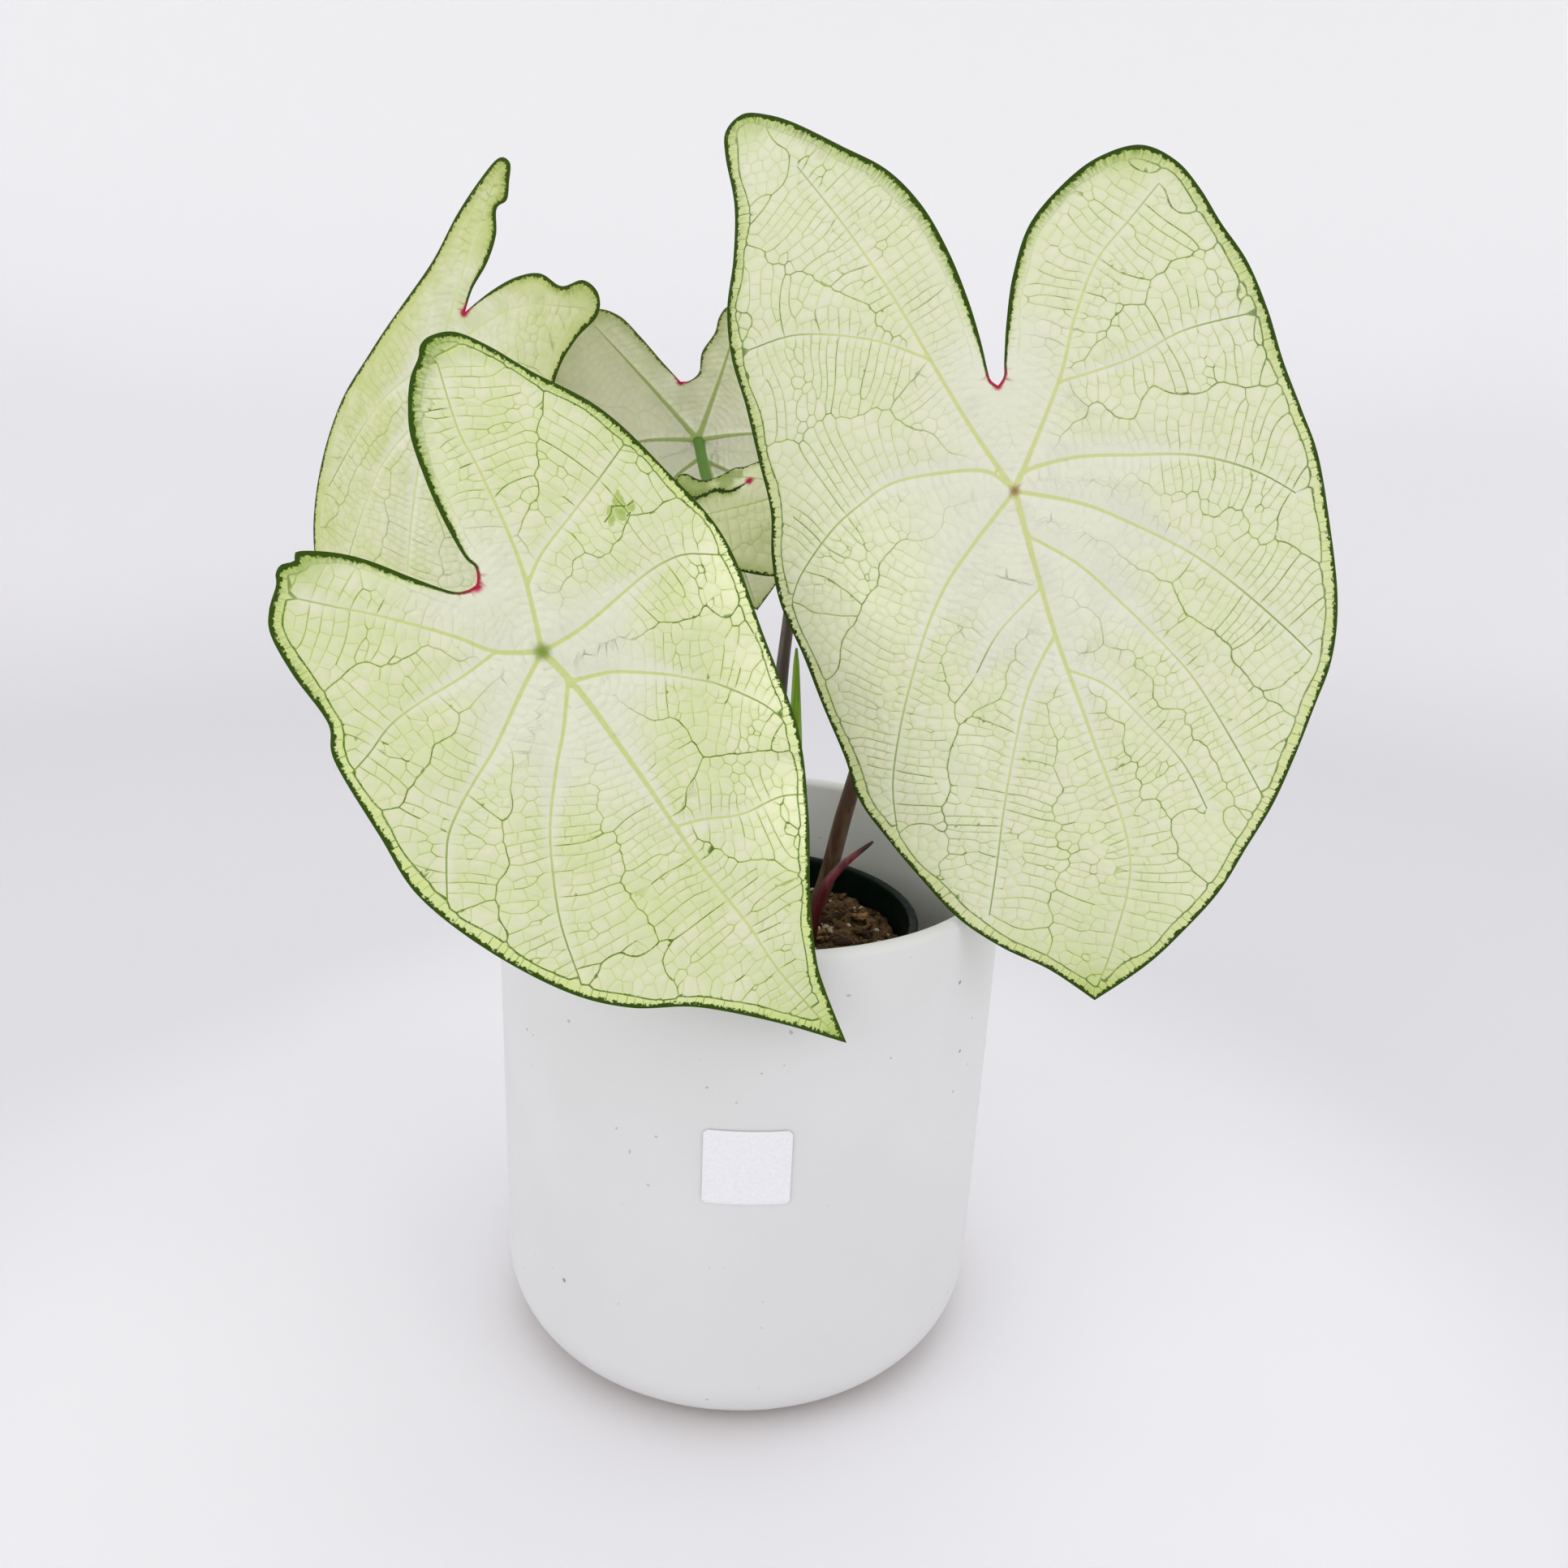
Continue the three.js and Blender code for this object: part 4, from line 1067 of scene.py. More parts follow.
    def add_line_sides(self, plan, cells, corners, points, on_vein):
        """Adds the points beside the net's lines, one in each corner of each cell, so that a line's
        colour and groove keep their width."""
        around = {}
        for t, face in enumerate(corners):
            for cell in face:
                around.setdefault(int(cell), []).append(t)
        for cell, members in around.items():
            centre = cells[cell]
            members.sort(key=lambda t: math.atan2(points[t][1] - centre[1], points[t][0] - centre[0]))
            for before, t, after in zip([members[-1]] + members, members, members[1:] + members[:1]):
                if t in on_vein or len(members) < 3:
                    continue
                back = unit(points[before] - points[t])
                ahead = unit(points[after] - points[t])
                middle = unit(centre - points[t])
                reach = LINE_BAND / max(0.35, min(abs(cross(middle, way)) for way in (back, ahead)))
                if reach < 0.8 * np.linalg.norm(centre - points[t]):
                    plan.point(points[t] + middle * reach, LINE_CLEAR)

    def add_margin_rows(self, plan):
        loop = np.vstack([self.margin[-1:], self.margin, self.margin[:1]])
        inward = left_of(loop[2:] - loop[:-2])
        for inset in MARGIN_ROWS:
            row = self.margin + inward * inset
            _, away = nearest(self.margin_tree, row)
            for point in row[away > 0.9 * inset]:
                plan.point(point, MARGIN_ROW_CLEAR)

    def add_veins(self, plan, on_vein):
        """Lays each main vein through its points of the net."""
        node_of = {}
        step = round(VEIN_STEP / CLOSE_STEP)
        for index, vein in enumerate(self.veins):
            stops = {}
            for owner, i, t in on_vein:
                if owner == index:
                    stops.setdefault(i, []).append(t)
            last = len(vein["line"]) - 1
            free = [i for i in range(0, last + 1, step) if all(abs(i - k) > 2 for k in stops)]
            places = sorted(set(free + [0, last]) | set(stops))
            for i, number in zip(places, plan.chain(vein["line"][places])):
                for t in stops.get(i, []):
                    node_of[t] = number
        return node_of

    def add_vein_sides(self, plan):
        step = round(VEIN_STEP / CLOSE_STEP)
        for index, vein in enumerate(self.veins):
            line = vein["line"]
            middle = np.arange(step, len(line) - 1, step)
            across = left_of(line[middle + 1] - line[middle - 1])
            for share in VEIN_ROWS:
                row = line[middle] + across * (share * vein["widths"][middle] / 2)[:, None]
                own, _ = nearest(self.vein_tree, row)
                for point in row[self.vein_details[own, 0] == index]:
                    plan.point(point, VEIN_ROW_CLEAR)

    def describe(self, flat):
        """What the shader and the relief need to know at each flat point."""
        vein, from_vein = nearest(self.vein_tree, flat)
        number, from_junction, width, share = self.vein_details[vein].T
        _, from_net = nearest(self.net_tree, flat)
        at, edge = nearest(self.margin_tree, flat)
        along = at * self.margin_length / (len(self.close_margin) - 1)
        between_lobes = smooth(-14, 4, along - self.lobe_ends[0]) * smooth(-14, 4, self.lobe_ends[1] - along)
        size = self.length / USUAL_LENGTH
        hub = away_from(flat, (0, 0))
        out = hub / (hub + edge)
        from_notch = away_from(flat, self.notch) / size
        pale = size * mixed(7.0, 0.3, smooth(0.25, 0.7, out))
        by_edge = (1 - smooth(3, 8, edge)) * smooth(5, 22, from_notch)
        fade = smooth(0.15, 1.1, from_vein / pale) * smooth(0.2, 0.6, out) * smooth(4, 28, from_notch)
        fade = np.maximum(fade, by_edge)
        tone = smooth(0.1, 1.6, from_vein / pale) * smooth(0.15, 0.65, out) * smooth(0, 24, from_notch)
        tips = np.minimum.reduce([away_from(flat, tip) for tip in self.tips]) / size
        from_tip = away_from(flat, self.tips[0]) / size
        # Greener round the tips, as the leaves are. The wide green towards the main tip is also painted
        # shade, where the lower tip turns away from the light.
        green = 0.6 * (1 - smooth(2, 12, tips)) + 0.35 * (1 - smooth(6, 40, from_tip))
        # The listed patches on leaf_e's curled lobe are painted shade: a darker olive green where the lobe
        # turns steeply away.
        for u, v, radius in self.data.get("painted_shade_patches", ()):
            ragged = away_from(flat, (u, v)) + 1.2 * drift(flat, 9, 5)
            green = np.maximum(green, 0.7 * (1 - smooth(0.6 * radius, radius, ragged)))
        for start, first, end, last in self.data.get("scar", ()):
            away, part = from_segment(flat, start, end)
            over = away - mixed(first, last, part) + 0.2 * drift(flat, 12, 1.6)
            green = np.maximum(green, (0.85 + 0.12 * drift(flat, 13, 1.5)) * (1 - smooth(-0.1, 0.1, over)))
        # Painted light, strongest at each listed spot and gone at its radius
        painted_light = np.zeros(len(flat))
        for u, v, radius in self.data.get("painted_light", ()):
            painted_light = np.maximum(painted_light, 0.75 - 0.75 * smooth(0, radius, away_from(flat, (u, v))))
        lobe = smooth(8, 28, flat[:, 1] / size) * smooth(5, 16, from_notch)
        comb = self.data.get("comb", 1) * lobe * mixed(0.45, 1, between_lobes)
        comb_reach = mixed(1.7, 4.8, smooth(12, 50, from_notch))
        plain = np.maximum(self.data.get("soft_rim", 0), lobe * between_lobes)
        band = self.band_width(flat)
        fade = fade * (1 - 0.85 * plain * (1 - smooth(0.3, 1.2, edge - band)))
        return {
            "net": from_net,
            "vein": from_vein / (width / 2),
            "vein_end": np.where(number > 2, smooth(0.45, 0.95, share), 0.5 * smooth(0.7, 1, share)),
            "edge": edge,
            "strip": 1 - smooth(mixed(-0.25, -band, plain), mixed(0.25, 1.5, plain), edge - band),
            "comb": comb * (1 - smooth(0.4, comb_reach, edge)),
            "along": along,
            "painted_light": painted_light,
            "mottle": self.data.get("mottle", 0) * (1 - smooth(2, 18, edge)),
            "tone": np.maximum(tone, by_edge),
            "fade": fade,
            "green": green,
            "hub": 1 - smooth(0.4, self.data.get("hub", 1.9), hub),
            "blush": self.blush(from_notch * size, edge),
            "calm": 1 - smooth(4, 20, from_notch),
            "rib": from_junction + 0.5 * from_vein,
            "ribbed": smooth(0.6, 2.2, from_vein) * (1 - smooth(4, 12, from_vein)),
        }, from_vein, width, out

    def blush(self, from_notch, edge):
        """The crimson at the notch, which runs a little way up both its sides."""
        radius, reach = self.data["blush"]
        spot = 1 - smooth(0.5 * radius, radius + 0.4, from_notch)
        sides = (1 - smooth(0.4, 1.0, edge)) * (1 - smooth(0.3 * reach, reach + 0.1, from_notch))
        return np.maximum(spot, sides)

    def relief(self, flat, facts, from_vein, width, out):
        """Bulges between the veins, the same on both faces, and the ridges and grooves of the veins."""
        inner = smooth(0.3, 6, facts["edge"])
        cell = 0.12 * smooth(0, 0.35, facts["net"]) + 0.16 * smooth(0.2, 1.1, facts["net"])
        bulge = 0.42 * smooth(0.3, 2.4, from_vein) + 0.6 * smooth(1, 10, from_vein)
        pucker = 0.3 * smooth(1, 6, from_vein) * drift(flat, 11, 8)
        groove = np.exp(-((from_vein / (0.75 * width)) ** 2))
        both = inner * (cell + (bulge + pucker) * (1 - 0.5 * smooth(0.5, 0.95, out)) - 0.5)
        top = both + BLADE_THICKNESS / 2 - inner * groove * 0.2 * width
        under = both - BLADE_THICKNESS / 2 - inner * groove * 0.5 * width
        return top, under

    def build(self):
        flat, faces = self.flat_mesh()
        facts, from_vein, width, out = self.describe(flat)
        top, under = self.relief(flat, facts, from_vein, width, out)
        shrink = 1 - 2 * MARGIN_INSET / self.length
        points = np.vstack([self.placed(flat * shrink, top), self.placed(flat * shrink, under)])
        count = len(flat)
        sides = np.vstack([faces[:, (0, 1)], faces[:, (1, 2)], faces[:, (2, 0)]])
        known = {(int(a), int(b)) for a, b in sides}
        rim = sorted((a, b) for a, b in known if (b, a) not in known)
        all_faces = [tuple(f) for f in faces]
        all_faces += [(c + count, b + count, a + count) for a, b, c in faces]
        all_faces += [(b, a, a + count, b + count) for a, b in rim]
        piece = make_object(self.name + "_lamina", points, all_faces, blade_material(self.name), "leaf_blade")
        net, _ = nearest(self.net_tree, flat[faces].mean(1))
        level = self.net_levels[net] * mixed(0.6, 1, smooth(0.35, 0.85, out[faces].mean(1)))
        layers = [(key, "POINT", np.r_[values, values]) for key, values in facts.items()]
        layers.append(("level", "FACE", np.r_[level, level, np.zeros(len(rim))]))
        for key, domain, values in layers:
            layer = piece.data.attributes.new(key, "FLOAT", domain)
            layer.data.foreach_set("value", values.astype(np.float32))
        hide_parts(self.name + "_blade")


class Plan:
    """Flat points, and the lines between them that the triangles have to follow."""

    def __init__(self):
        self.points = []
        self.edges = []
        self.known = {}
        self.spaced = Spaced(0.4)

    def point(self, point, clear=None):
        """Adds a point and gives its number. One with a clearance is left out if others are closer."""
        key = (round(float(point[0]), 2), round(float(point[1]), 2))
        if key not in self.known:
            if not self.spaced.add(key, clear or 0.005):
                return self.known.get(key)
            self.known[key] = len(self.points)
            self.points.append(key)
        return self.known[key]

    def chain(self, points):
        """Adds points with a line through them, and gives their numbers."""
        numbers = [self.point(p) for p in points]
        self.edges += [(a, b) for a, b in zip(numbers, numbers[1:]) if a != b]
        return numbers

    def triangles(self, boundary):
        loop = list(dict.fromkeys(boundary))
        coords, _, faces, _, _, _ = delaunay_2d_cdt(
            [Vector(p) for p in self.points], self.edges, [loop], 1, 1e-4)
        flat = np.array([tuple(c) for c in coords])
        faces = np.array([f for f in faces if len(f) == 3])
        a, b, c = flat[faces].transpose(1, 0, 2)
        wrong = cross(b - a, c - a) < 0
        faces[wrong] = faces[wrong][:, ::-1]
        return flat, faces


# Stalks

def tube(route, radii, sides, bend=None):
    """A closed body round a route. Its shape round the route may be bent by a function of the turn."""
    tangents = np.gradient(route, axis=0)
    tangents /= np.linalg.norm(tangents, axis=1)[:, None]
    side = np.array([1.0, 0, 0])
    rings = []
    for centre, along, radius in zip(route, tangents, radii):
        side = side - along * side.dot(along)
        side /= np.linalg.norm(side)
        other = np.cross(along, side)
        turn = np.linspace(0, 2 * math.pi, sides, endpoint=False)
        shape = bend(turn) if bend else np.ones(sides)
        outline = np.outer(np.cos(turn) * shape, side) + np.outer(np.sin(turn) * shape, other)
        rings.append(centre + radius * outline)
    return closed_rings(rings, route[0], route[-1])


STALK_SIDES = 20
SPOT_BROWN = (30, 22, 18)


def stalk_material(name, base, blotch, top, rise):
    """A stalk whose colour is mottled along its length and changes to another towards its top."""
    sh = Shader(name, Specular_IOR_Level=0.45, Subsurface_Weight=0.1, Subsurface_Scale=MM)
    streaks = sh.noise(260, 4, (1, 1, 0.12))
    spots = sh.noise(900, 2, (1, 1, 0.3))
    colour = sh.blend(streaks, 0.42, 0.6, base, blotch)
    colour = sh.mix(sh.between(spots, 0.58, 0.7, 0, 0.5), colour, tuple(shade_of(base, SPOT_BROWN, 0.5)))
    colour = sh.blend(sh.height(), rise[0] * MM, rise[1] * MM, colour, top)
    return sh.finish(colour, sh.between(streaks, 0.3, 0.7, 0.36, 0.5), [(spots, 0.08), (streaks, 0.12)])


def build_stalk(leaf, material, slot):
    """A stalk that stands straight in the soil, and whose last rings are cut along the blade's lower face."""
    (x, y), *rest = leaf.data["stalk"]
    end = leaf.placed(np.zeros((1, 2)), 0)[0]
    route = space_curve([(x, y, CROWN_TOP), (x, y, SOIL_TOP - 1), *rest, end], 1.5)
    lengths = lengths_along(route)
    share = lengths / lengths[-1]
    low, high = leaf.data["radius"]
    radii = mixed(low, high, share) - 0.04 * (1 + np.sin(share * 37))
    radii = radii * (1 + leaf.data.get("flare", 0.35) * smooth(-5, 0, lengths - lengths[-1]))
    points, faces = tube(route, radii, STALK_SIDES)
    ways = np.gradient(route, axis=0)
    for ring in range(len(route) - 4, len(route)):
        members = 1 + ring * STALK_SIDES + np.arange(STALK_SIDES)
        if ring == len(route) - 1:
            members = np.append(members, len(points) - 1)
        lowest = -1.1 - 0.9 * (len(route) - 1 - ring)
        steep = ways[ring].dot(leaf.normal)
        over = (points[members] - leaf.origin) @ leaf.normal - lowest
        points[members] -= np.outer(np.maximum(over, 0) / steep, ways[ring])
    piece = make_object(leaf.name + "_stalk", points, faces, material, slot)
    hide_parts(leaf.name + "_petiole")


# The pots

POT_SPECKS = [((57.0, -48.7, 131.5), 0.8), ((59.5, -45.6, 108.8), 0.7), ((-49.0, -56.8, 37.5), 0.9)]


def ceramic_material():
    sh = Shader("matt_glaze", Specular_IOR_Level=0.4)
    cloud = sh.noise(16, 3)
    fine = sh.noise(700, 3)
    colour = sh.blend(cloud, 0.3, 0.7, (226, 226, 226), (222, 222, 221))
    specks = sh.noise(330, 1)
    colour = sh.mix(sh.between(specks, 0.77, 0.8, 0, 0.5), colour, (140, 138, 132))
    for point, size in POT_SPECKS:
        colour = sh.mix(sh.between(sh.away(point), 0.4 * size, size, 0.75, 0), colour, (88, 84, 80))
    foot = sh.plus(sh.height(), sh.between(sh.noise(40, 2), 0.3, 0.7, -1.2 * MM, 1.2 * MM))
    colour = sh.mix(sh.between(foot, 5.5 * MM, 8.5 * MM, 0.8, 0), colour, (168, 150, 128))
    return sh.finish(colour, sh.between(cloud, 0.3, 0.7, 0.5, 0.6), [(fine, 0.03), (sh.noise(60, 2), 0.12)])


def build_outer_pot():
    inner = POT_RADIUS - POT_WALL
    rim = POT_WALL / 2
    profile = [(0, 0.5), (POT_RADIUS - POT_EDGE_RADIUS - 4, 0.5), (POT_RADIUS - POT_EDGE_RADIUS - 3, 0)]
    profile += arc((POT_RADIUS - POT_EDGE_RADIUS, POT_EDGE_RADIUS), POT_EDGE_RADIUS, -90, 0, 20)
    profile += [(POT_RADIUS, h) for h in (40, 70, 100, 130)]
    profile += arc((POT_RADIUS - rim, POT_HEIGHT - rim), rim, 0, 180, 14)
    profile += [(inner, h) for h in (120, 80, 40)]
    corner = POT_FLOOR + POT_INNER_EDGE_RADIUS
    profile += arc((inner - POT_INNER_EDGE_RADIUS, corner), POT_INNER_EDGE_RADIUS, 0, -90, 12)
    profile += [(0, POT_FLOOR)]
    piece = make_object("ceramic_pot", *turned(profile, 160), ceramic_material(), "pot_ceramic")
    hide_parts("outer_pot")


def build_label():
    """A blank paper square that follows the pot's wall, with small round corners."""
    columns = 28
    rows = 22
    width = math.radians(LABEL_TO_DEG - LABEL_FROM_DEG) * POT_RADIUS
    points = []
    for is_front, radius in enumerate((POT_RADIUS + LABEL_LIFT, POT_RADIUS + LABEL_LIFT + LABEL_THICKNESS)):
        for up in np.arange(rows + 1) / rows:
            from_end = min(up, 1 - up) * LABEL_HEIGHT
            into_corner = max(0, LABEL_CORNER - from_end)
            cut = LABEL_CORNER - math.sqrt(LABEL_CORNER**2 - into_corner**2)
            out = radius - LABEL_BEVEL * (is_front and from_end < LABEL_BEVEL_WIDTH)
            for share in np.arange(columns + 1) / columns:
                along = cut + (width - 2 * cut) * share
                angle = math.radians(-90 + LABEL_FROM_DEG) + along / POT_RADIUS
                height = LABEL_BOTTOM + up * LABEL_HEIGHT
                points.append((out * math.cos(angle), out * math.sin(angle), height))
    across = columns + 1
    sheet = (rows + 1) * across
    faces = []
    for row in range(rows):
        for a in range(row * across, row * across + columns):
            faces.append((a, a + across, a + across + 1, a + 1))
            faces.append((a + sheet, a + sheet + 1, a + sheet + across + 1, a + sheet + across))
    last = rows * across
    edge = [*range(columns), *range(columns, last + columns, across)]
    edge += [*range(last + columns, last, -1), *range(last, 0, -across)]
    for a, b in zip(edge, edge[1:] + edge[:1]):
        faces.append((a, b, b + sheet, a + sheet))
    sh = Shader("label_paper", roughness=0.75, Specular_IOR_Level=0.2)
    fibre = sh.noise(1500, 4)
    material = sh.finish(sh.blend(fibre, 0.3, 0.7, (243, 243, 246), (236, 236, 239)), None, [(fibre, 0.02)])
    piece = make_object("blank_label", points, faces, material, "label_paper", smooth_faces=False)
    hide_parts("label")


def nursery_radius(height):
    share = (height - NURSERY_BASE) / (NURSERY_RIM - NURSERY_BASE)
    return mixed(NURSERY_BASE_RADIUS, NURSERY_TOP_RADIUS, share)


def build_nursery_pot():
    floor_top = NURSERY_BASE + NURSERY_FLOOR
    lip_foot = NURSERY_RIM - NURSERY_LIP_HEIGHT
    lip = nursery_radius(lip_foot) + NURSERY_LIP
    top = NURSERY_TOP_RADIUS + NURSERY_LIP
    profile = [(0, NURSERY_BASE), (NURSERY_BASE_RADIUS - 2, NURSERY_BASE)]
    profile += [(nursery_radius(NURSERY_BASE + 2), NURSERY_BASE + 2)]
    profile += [(nursery_radius(h), h) for h in np.linspace(20, lip_foot, 6)]
    profile += [(lip - 0.3, lip_foot), (lip, lip_foot + 0.3), (top, NURSERY_RIM - 0.8)]
    profile += arc((top - 0.8, NURSERY_RIM - 0.8), 0.8, 0, 90, 4)
    inner = NURSERY_TOP_RADIUS - NURSERY_WALL
    profile += arc((inner + 0.8, NURSERY_RIM - 0.8), 0.8, 90, 170, 4)
    profile += [(nursery_radius(h) - NURSERY_WALL, h) for h in np.linspace(NURSERY_RIM - 2, floor_top, 8)]
    profile += [(0, floor_top)]
    sh = Shader("green_plastic", Specular_IOR_Level=0.1)
    dust = sh.noise(120, 4)
    scuffs = sh.noise(500, 3, (1, 1, 0.2))
    colour = sh.mix(sh.between(dust, 0.45, 0.75, 0, 0.35), (3, 20, 14), (12, 24, 19))
    material = sh.finish(colour, sh.between(scuffs, 0.3, 0.7, 0.3, 0.5), [(scuffs, 0.06)])
    piece = make_object("growing_pot", *turned(profile, 132), material, "nursery_plastic")
    cut_drain_holes(piece)
    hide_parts("nursery_pot")


def cut_drain_holes(piece):
    holes = bmesh.new()
    radius = DRAIN_HOLE_RADIUS * MM
    for x, y in circle(DRAIN_HOLES_OUT, DRAIN_HOLES):
        place = Matrix.Translation(Vector((x, y, NURSERY_BASE + 1)) * MM)
        bmesh.ops.create_cone(
            holes, cap_ends=True, segments=28, radius1=radius, radius2=radius, depth=2 * radius, matrix=place)
    cutter_mesh = bpy.data.meshes.new("drain_holes")
    holes.to_mesh(cutter_mesh)
    holes.free()
    cutter = bpy.data.objects.new("drain_holes", cutter_mesh)
    bpy.context.scene.collection.objects.link(cutter)
    cut = piece.modifiers.new("holes", "BOOLEAN")
    cut.object = cutter
    cut.operation = "DIFFERENCE"
    bpy.context.view_layer.update()
    done = bpy.data.meshes.new_from_object(piece.evaluated_get(bpy.context.evaluated_depsgraph_get()))
    piece.modifiers.clear()
    piece.data = done
    bpy.data.objects.remove(cutter)


# The soil

def soil_height(x, y):
    long = math.sin(0.11 * x + 1) * math.cos(0.13 * y - 0.4)
    short = math.sin(0.31 * x + 0.24 * y) * math.sin(0.27 * y - 0.19 * x + 2)
    heap = math.exp(-((x - HEAP[0]) ** 2 + (y - HEAP[1]) ** 2) / HEAP_WIDTH ** 2)
    return SOIL_TOP + SOIL_BUMP * (1.2 * long + short) + HEAP_HEIGHT * heap


def rough(x, y, z, size):
    return noise.noise(Vector((x / size, y / size, z / size)))


def crumbly_height(x, y):
    return soil_height(x, y) + 1.5 * rough(x, y, 0, 3.2) + 0.8 * rough(x, y, 5, 1.3)


def lump(centre, size, stretch, turn, seed):
    """One rough bit of bark, crumb or perlite."""
    ball = bmesh.new()
    bmesh.ops.create_icosphere(ball, subdivisions=2, radius=1)
    points = []
    for vertex in ball.verts:
        co = vertex.co * (1 + 0.55 * noise.noise(vertex.co * 1.3 + Vector((seed, 0, 0))))
        co = Vector((co.x * stretch[0], co.y * stretch[1], co.z * stretch[2])) * size
        points.append(turn @ co + Vector(centre))
    faces = [[v.index for v in face.verts] for face in ball.faces]
    ball.free()
    return points, faces


def scatter(name, count, sizes, stretch, material, random, lift):
    """Lays bits at random on the soil, with their middles above it by a share of their size."""
    points = []
    faces = []
    for _ in range(count):
        angle = random.uniform(0, 2 * math.pi)
        away = SCATTER_REACH * math.sqrt(random.uniform(0, 1))
        size = mixed(*sizes, random.uniform(0, 1) ** 2)
        away = min(away, SCATTER_REACH - size)
        x = away * math.cos(angle)
        y = away * math.sin(angle)
        turn = Matrix.Rotation(random.uniform(0, 6.3), 3, "Z")
        turn = turn @ Matrix.Rotation(random.uniform(-0.7, 0.7), 3, "X")
        shape = [s * random.uniform(0.7, 1.2) for s in stretch]
        centre = (x, y, soil_height(x, y) + lift * size)
        bit, sides = lump(centre, size, shape, turn, random.uniform(0, 90))
        faces += [[i + len(points) for i in side] for side in sides]
        points += [tuple(p) for p in bit]
    make_object(name, points, faces, material, "potting_mix", smooth_faces=False)


def build_soil():
    random = np.random.default_rng(5)
    sh = Shader("damp_mix", Specular_IOR_Level=0.25)
    grains = sh.noise(520, 5, roughness=0.7)
    dark = sh.finish(sh.blend(grains, 0.35, 0.7, (58, 44, 26), (124, 95, 60)), 0.9, [(grains, 0.5)])
    sh = Shader("bark", Specular_IOR_Level=0.25)
    grain = sh.noise(420, 4, (1, 0.3, 1))
    colour = sh.blend(grain, 0.35, 0.65, (88, 64, 38), (160, 124, 78))
    colour = sh.blend(sh.noise(110, 2), 0.4, 0.52, colour, (50, 34, 20))
    bark = sh.finish(colour, 0.8, [(grain, 0.3)])
    sh = Shader("perlite", Specular_IOR_Level=0.3)
    pores = sh.noise(900, 3)
    white = sh.finish(sh.blend(pores, 0.35, 0.6, (158, 144, 120), (218, 206, 182)), 0.85, [(pores, 0.2)])

    bottom = NURSERY_BASE + NURSERY_FLOOR + SOIL_CLEAR
    clear = NURSERY_WALL + SOIL_CLEAR
    top_radius = nursery_radius(SOIL_TOP - 3) - clear
    sides = ((nursery_radius(bottom) - clear, bottom), (top_radius, SOIL_TOP - 4))
    rings = [[(x, y, height) for x, y in circle(radius, SOIL_SIDES)] for radius, height in sides]
    for share in np.linspace(1, 0.03, SOIL_RINGS):
        rings.append([(x, y, crumbly_height(x, y)) for x, y in circle(top_radius * share, SOIL_SIDES)])
    points, faces = closed_rings(rings, (0, 0, bottom), (0, 0, soil_height(0, 0)))
    piece = make_object("soil_body", points, faces, dark, "potting_mix")
    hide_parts("soil")
    scatter("soil_crumbs", 760, (0.6, 2.0), (1, 0.8, 0.7), dark, random, 0.2)
    scatter("bark_bits", 210, (1.0, 3.2), (1, 0.5, 0.34), bark, random, 0.25)
    scatter("perlite_bits", 150, (0.5, 1.5), (1, 0.85, 0.75), white, random, 0.35)


# The rolled new leaf, the crimson sheath leaf and the tuber

NEW_LEAF_ROUTE = [
    (11, -5, CROWN_TOP), (11, -5, SOIL_TOP - 1), (11.5, -6, 150), (11, -5.5, 185), (10.2, -5, 212),
]
NEW_LEAF_RADII = {0: 2.2, 0.25: 2.3, 0.5: 2.3, 0.75: 2.1, 0.96: 0.9, 1: 0.35}
SHEATH_ROUTE = [
    (18, -6, CROWN_TOP), (18, -6, SOIL_TOP - 2), (19.2, -8, 130), (22.4, -10, 142.6), (27, -10, 149),
    (35.2, -10, 156.5),
]
SHEATH_RADII = {0: 2.6, 0.2: 2.6, 0.4: 2.3, 0.6: 1.75, 0.8: 1.4, 0.97: 0.65, 1: 0.4}


def shoot(points, step, radii, sides, bend):
    """A tube along a smooth route, with its radius given at shares of the route's length."""
    route = space_curve(points, step)
    lengths = lengths_along(route)
    return tube(route, np.interp(lengths / lengths[-1], list(radii), list(radii.values())), sides, bend)


def build_new_leaf():
    sh = Shader("rolled_leaf", Specular_IOR_Level=0.4, Subsurface_Weight=0.15, Subsurface_Scale=MM)
    streaks = sh.noise(500, 3, (1, 1, 0.06))
    colour = sh.blend(streaks, 0.4, 0.62, (96, 138, 10), (142, 180, 34))
    colour = sh.blend(sh.height(), 118 * MM, 160 * MM, (116, 110, 70), colour)
    material = sh.finish(colour, sh.between(streaks, 0.3, 0.7, 0.38, 0.5), [(streaks, 0.15)])
    body = shoot(NEW_LEAF_ROUTE, 1.2, NEW_LEAF_RADII, 26, lambda turn: 1 - 0.1 * (turn / (2 * math.pi)))
    piece = make_object("rolled_leaf", *body, material, "new_leaf")
    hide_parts("new_leaf_spike")


def build_sheath():
    sh = Shader("crimson_sheath", Specular_IOR_Level=0.45, Subsurface_Weight=0.1, Subsurface_Scale=MM)
    streaks = sh.noise(420, 3, (1, 1, 0.15))
    colour = sh.blend(streaks, 0.38, 0.62, (100, 34, 44), (138, 62, 72))
    colour = sh.blend(sh.height(), 118 * MM, 138 * MM, (74, 38, 34), colour)
    colour = sh.blend(sh.height(), 151.5 * MM, 155 * MM, colour, (62, 30, 32))
    material = sh.finish(colour, 0.4, [(streaks, 0.15)])
    body = shoot(SHEATH_ROUTE, 1.0, SHEATH_RADII, 22, lambda turn: 1 - 0.22 * np.cos(turn) ** 8)
    piece = make_object("crimson_sheath", *body, material, "shoot_crimson")
    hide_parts("red_shoot")


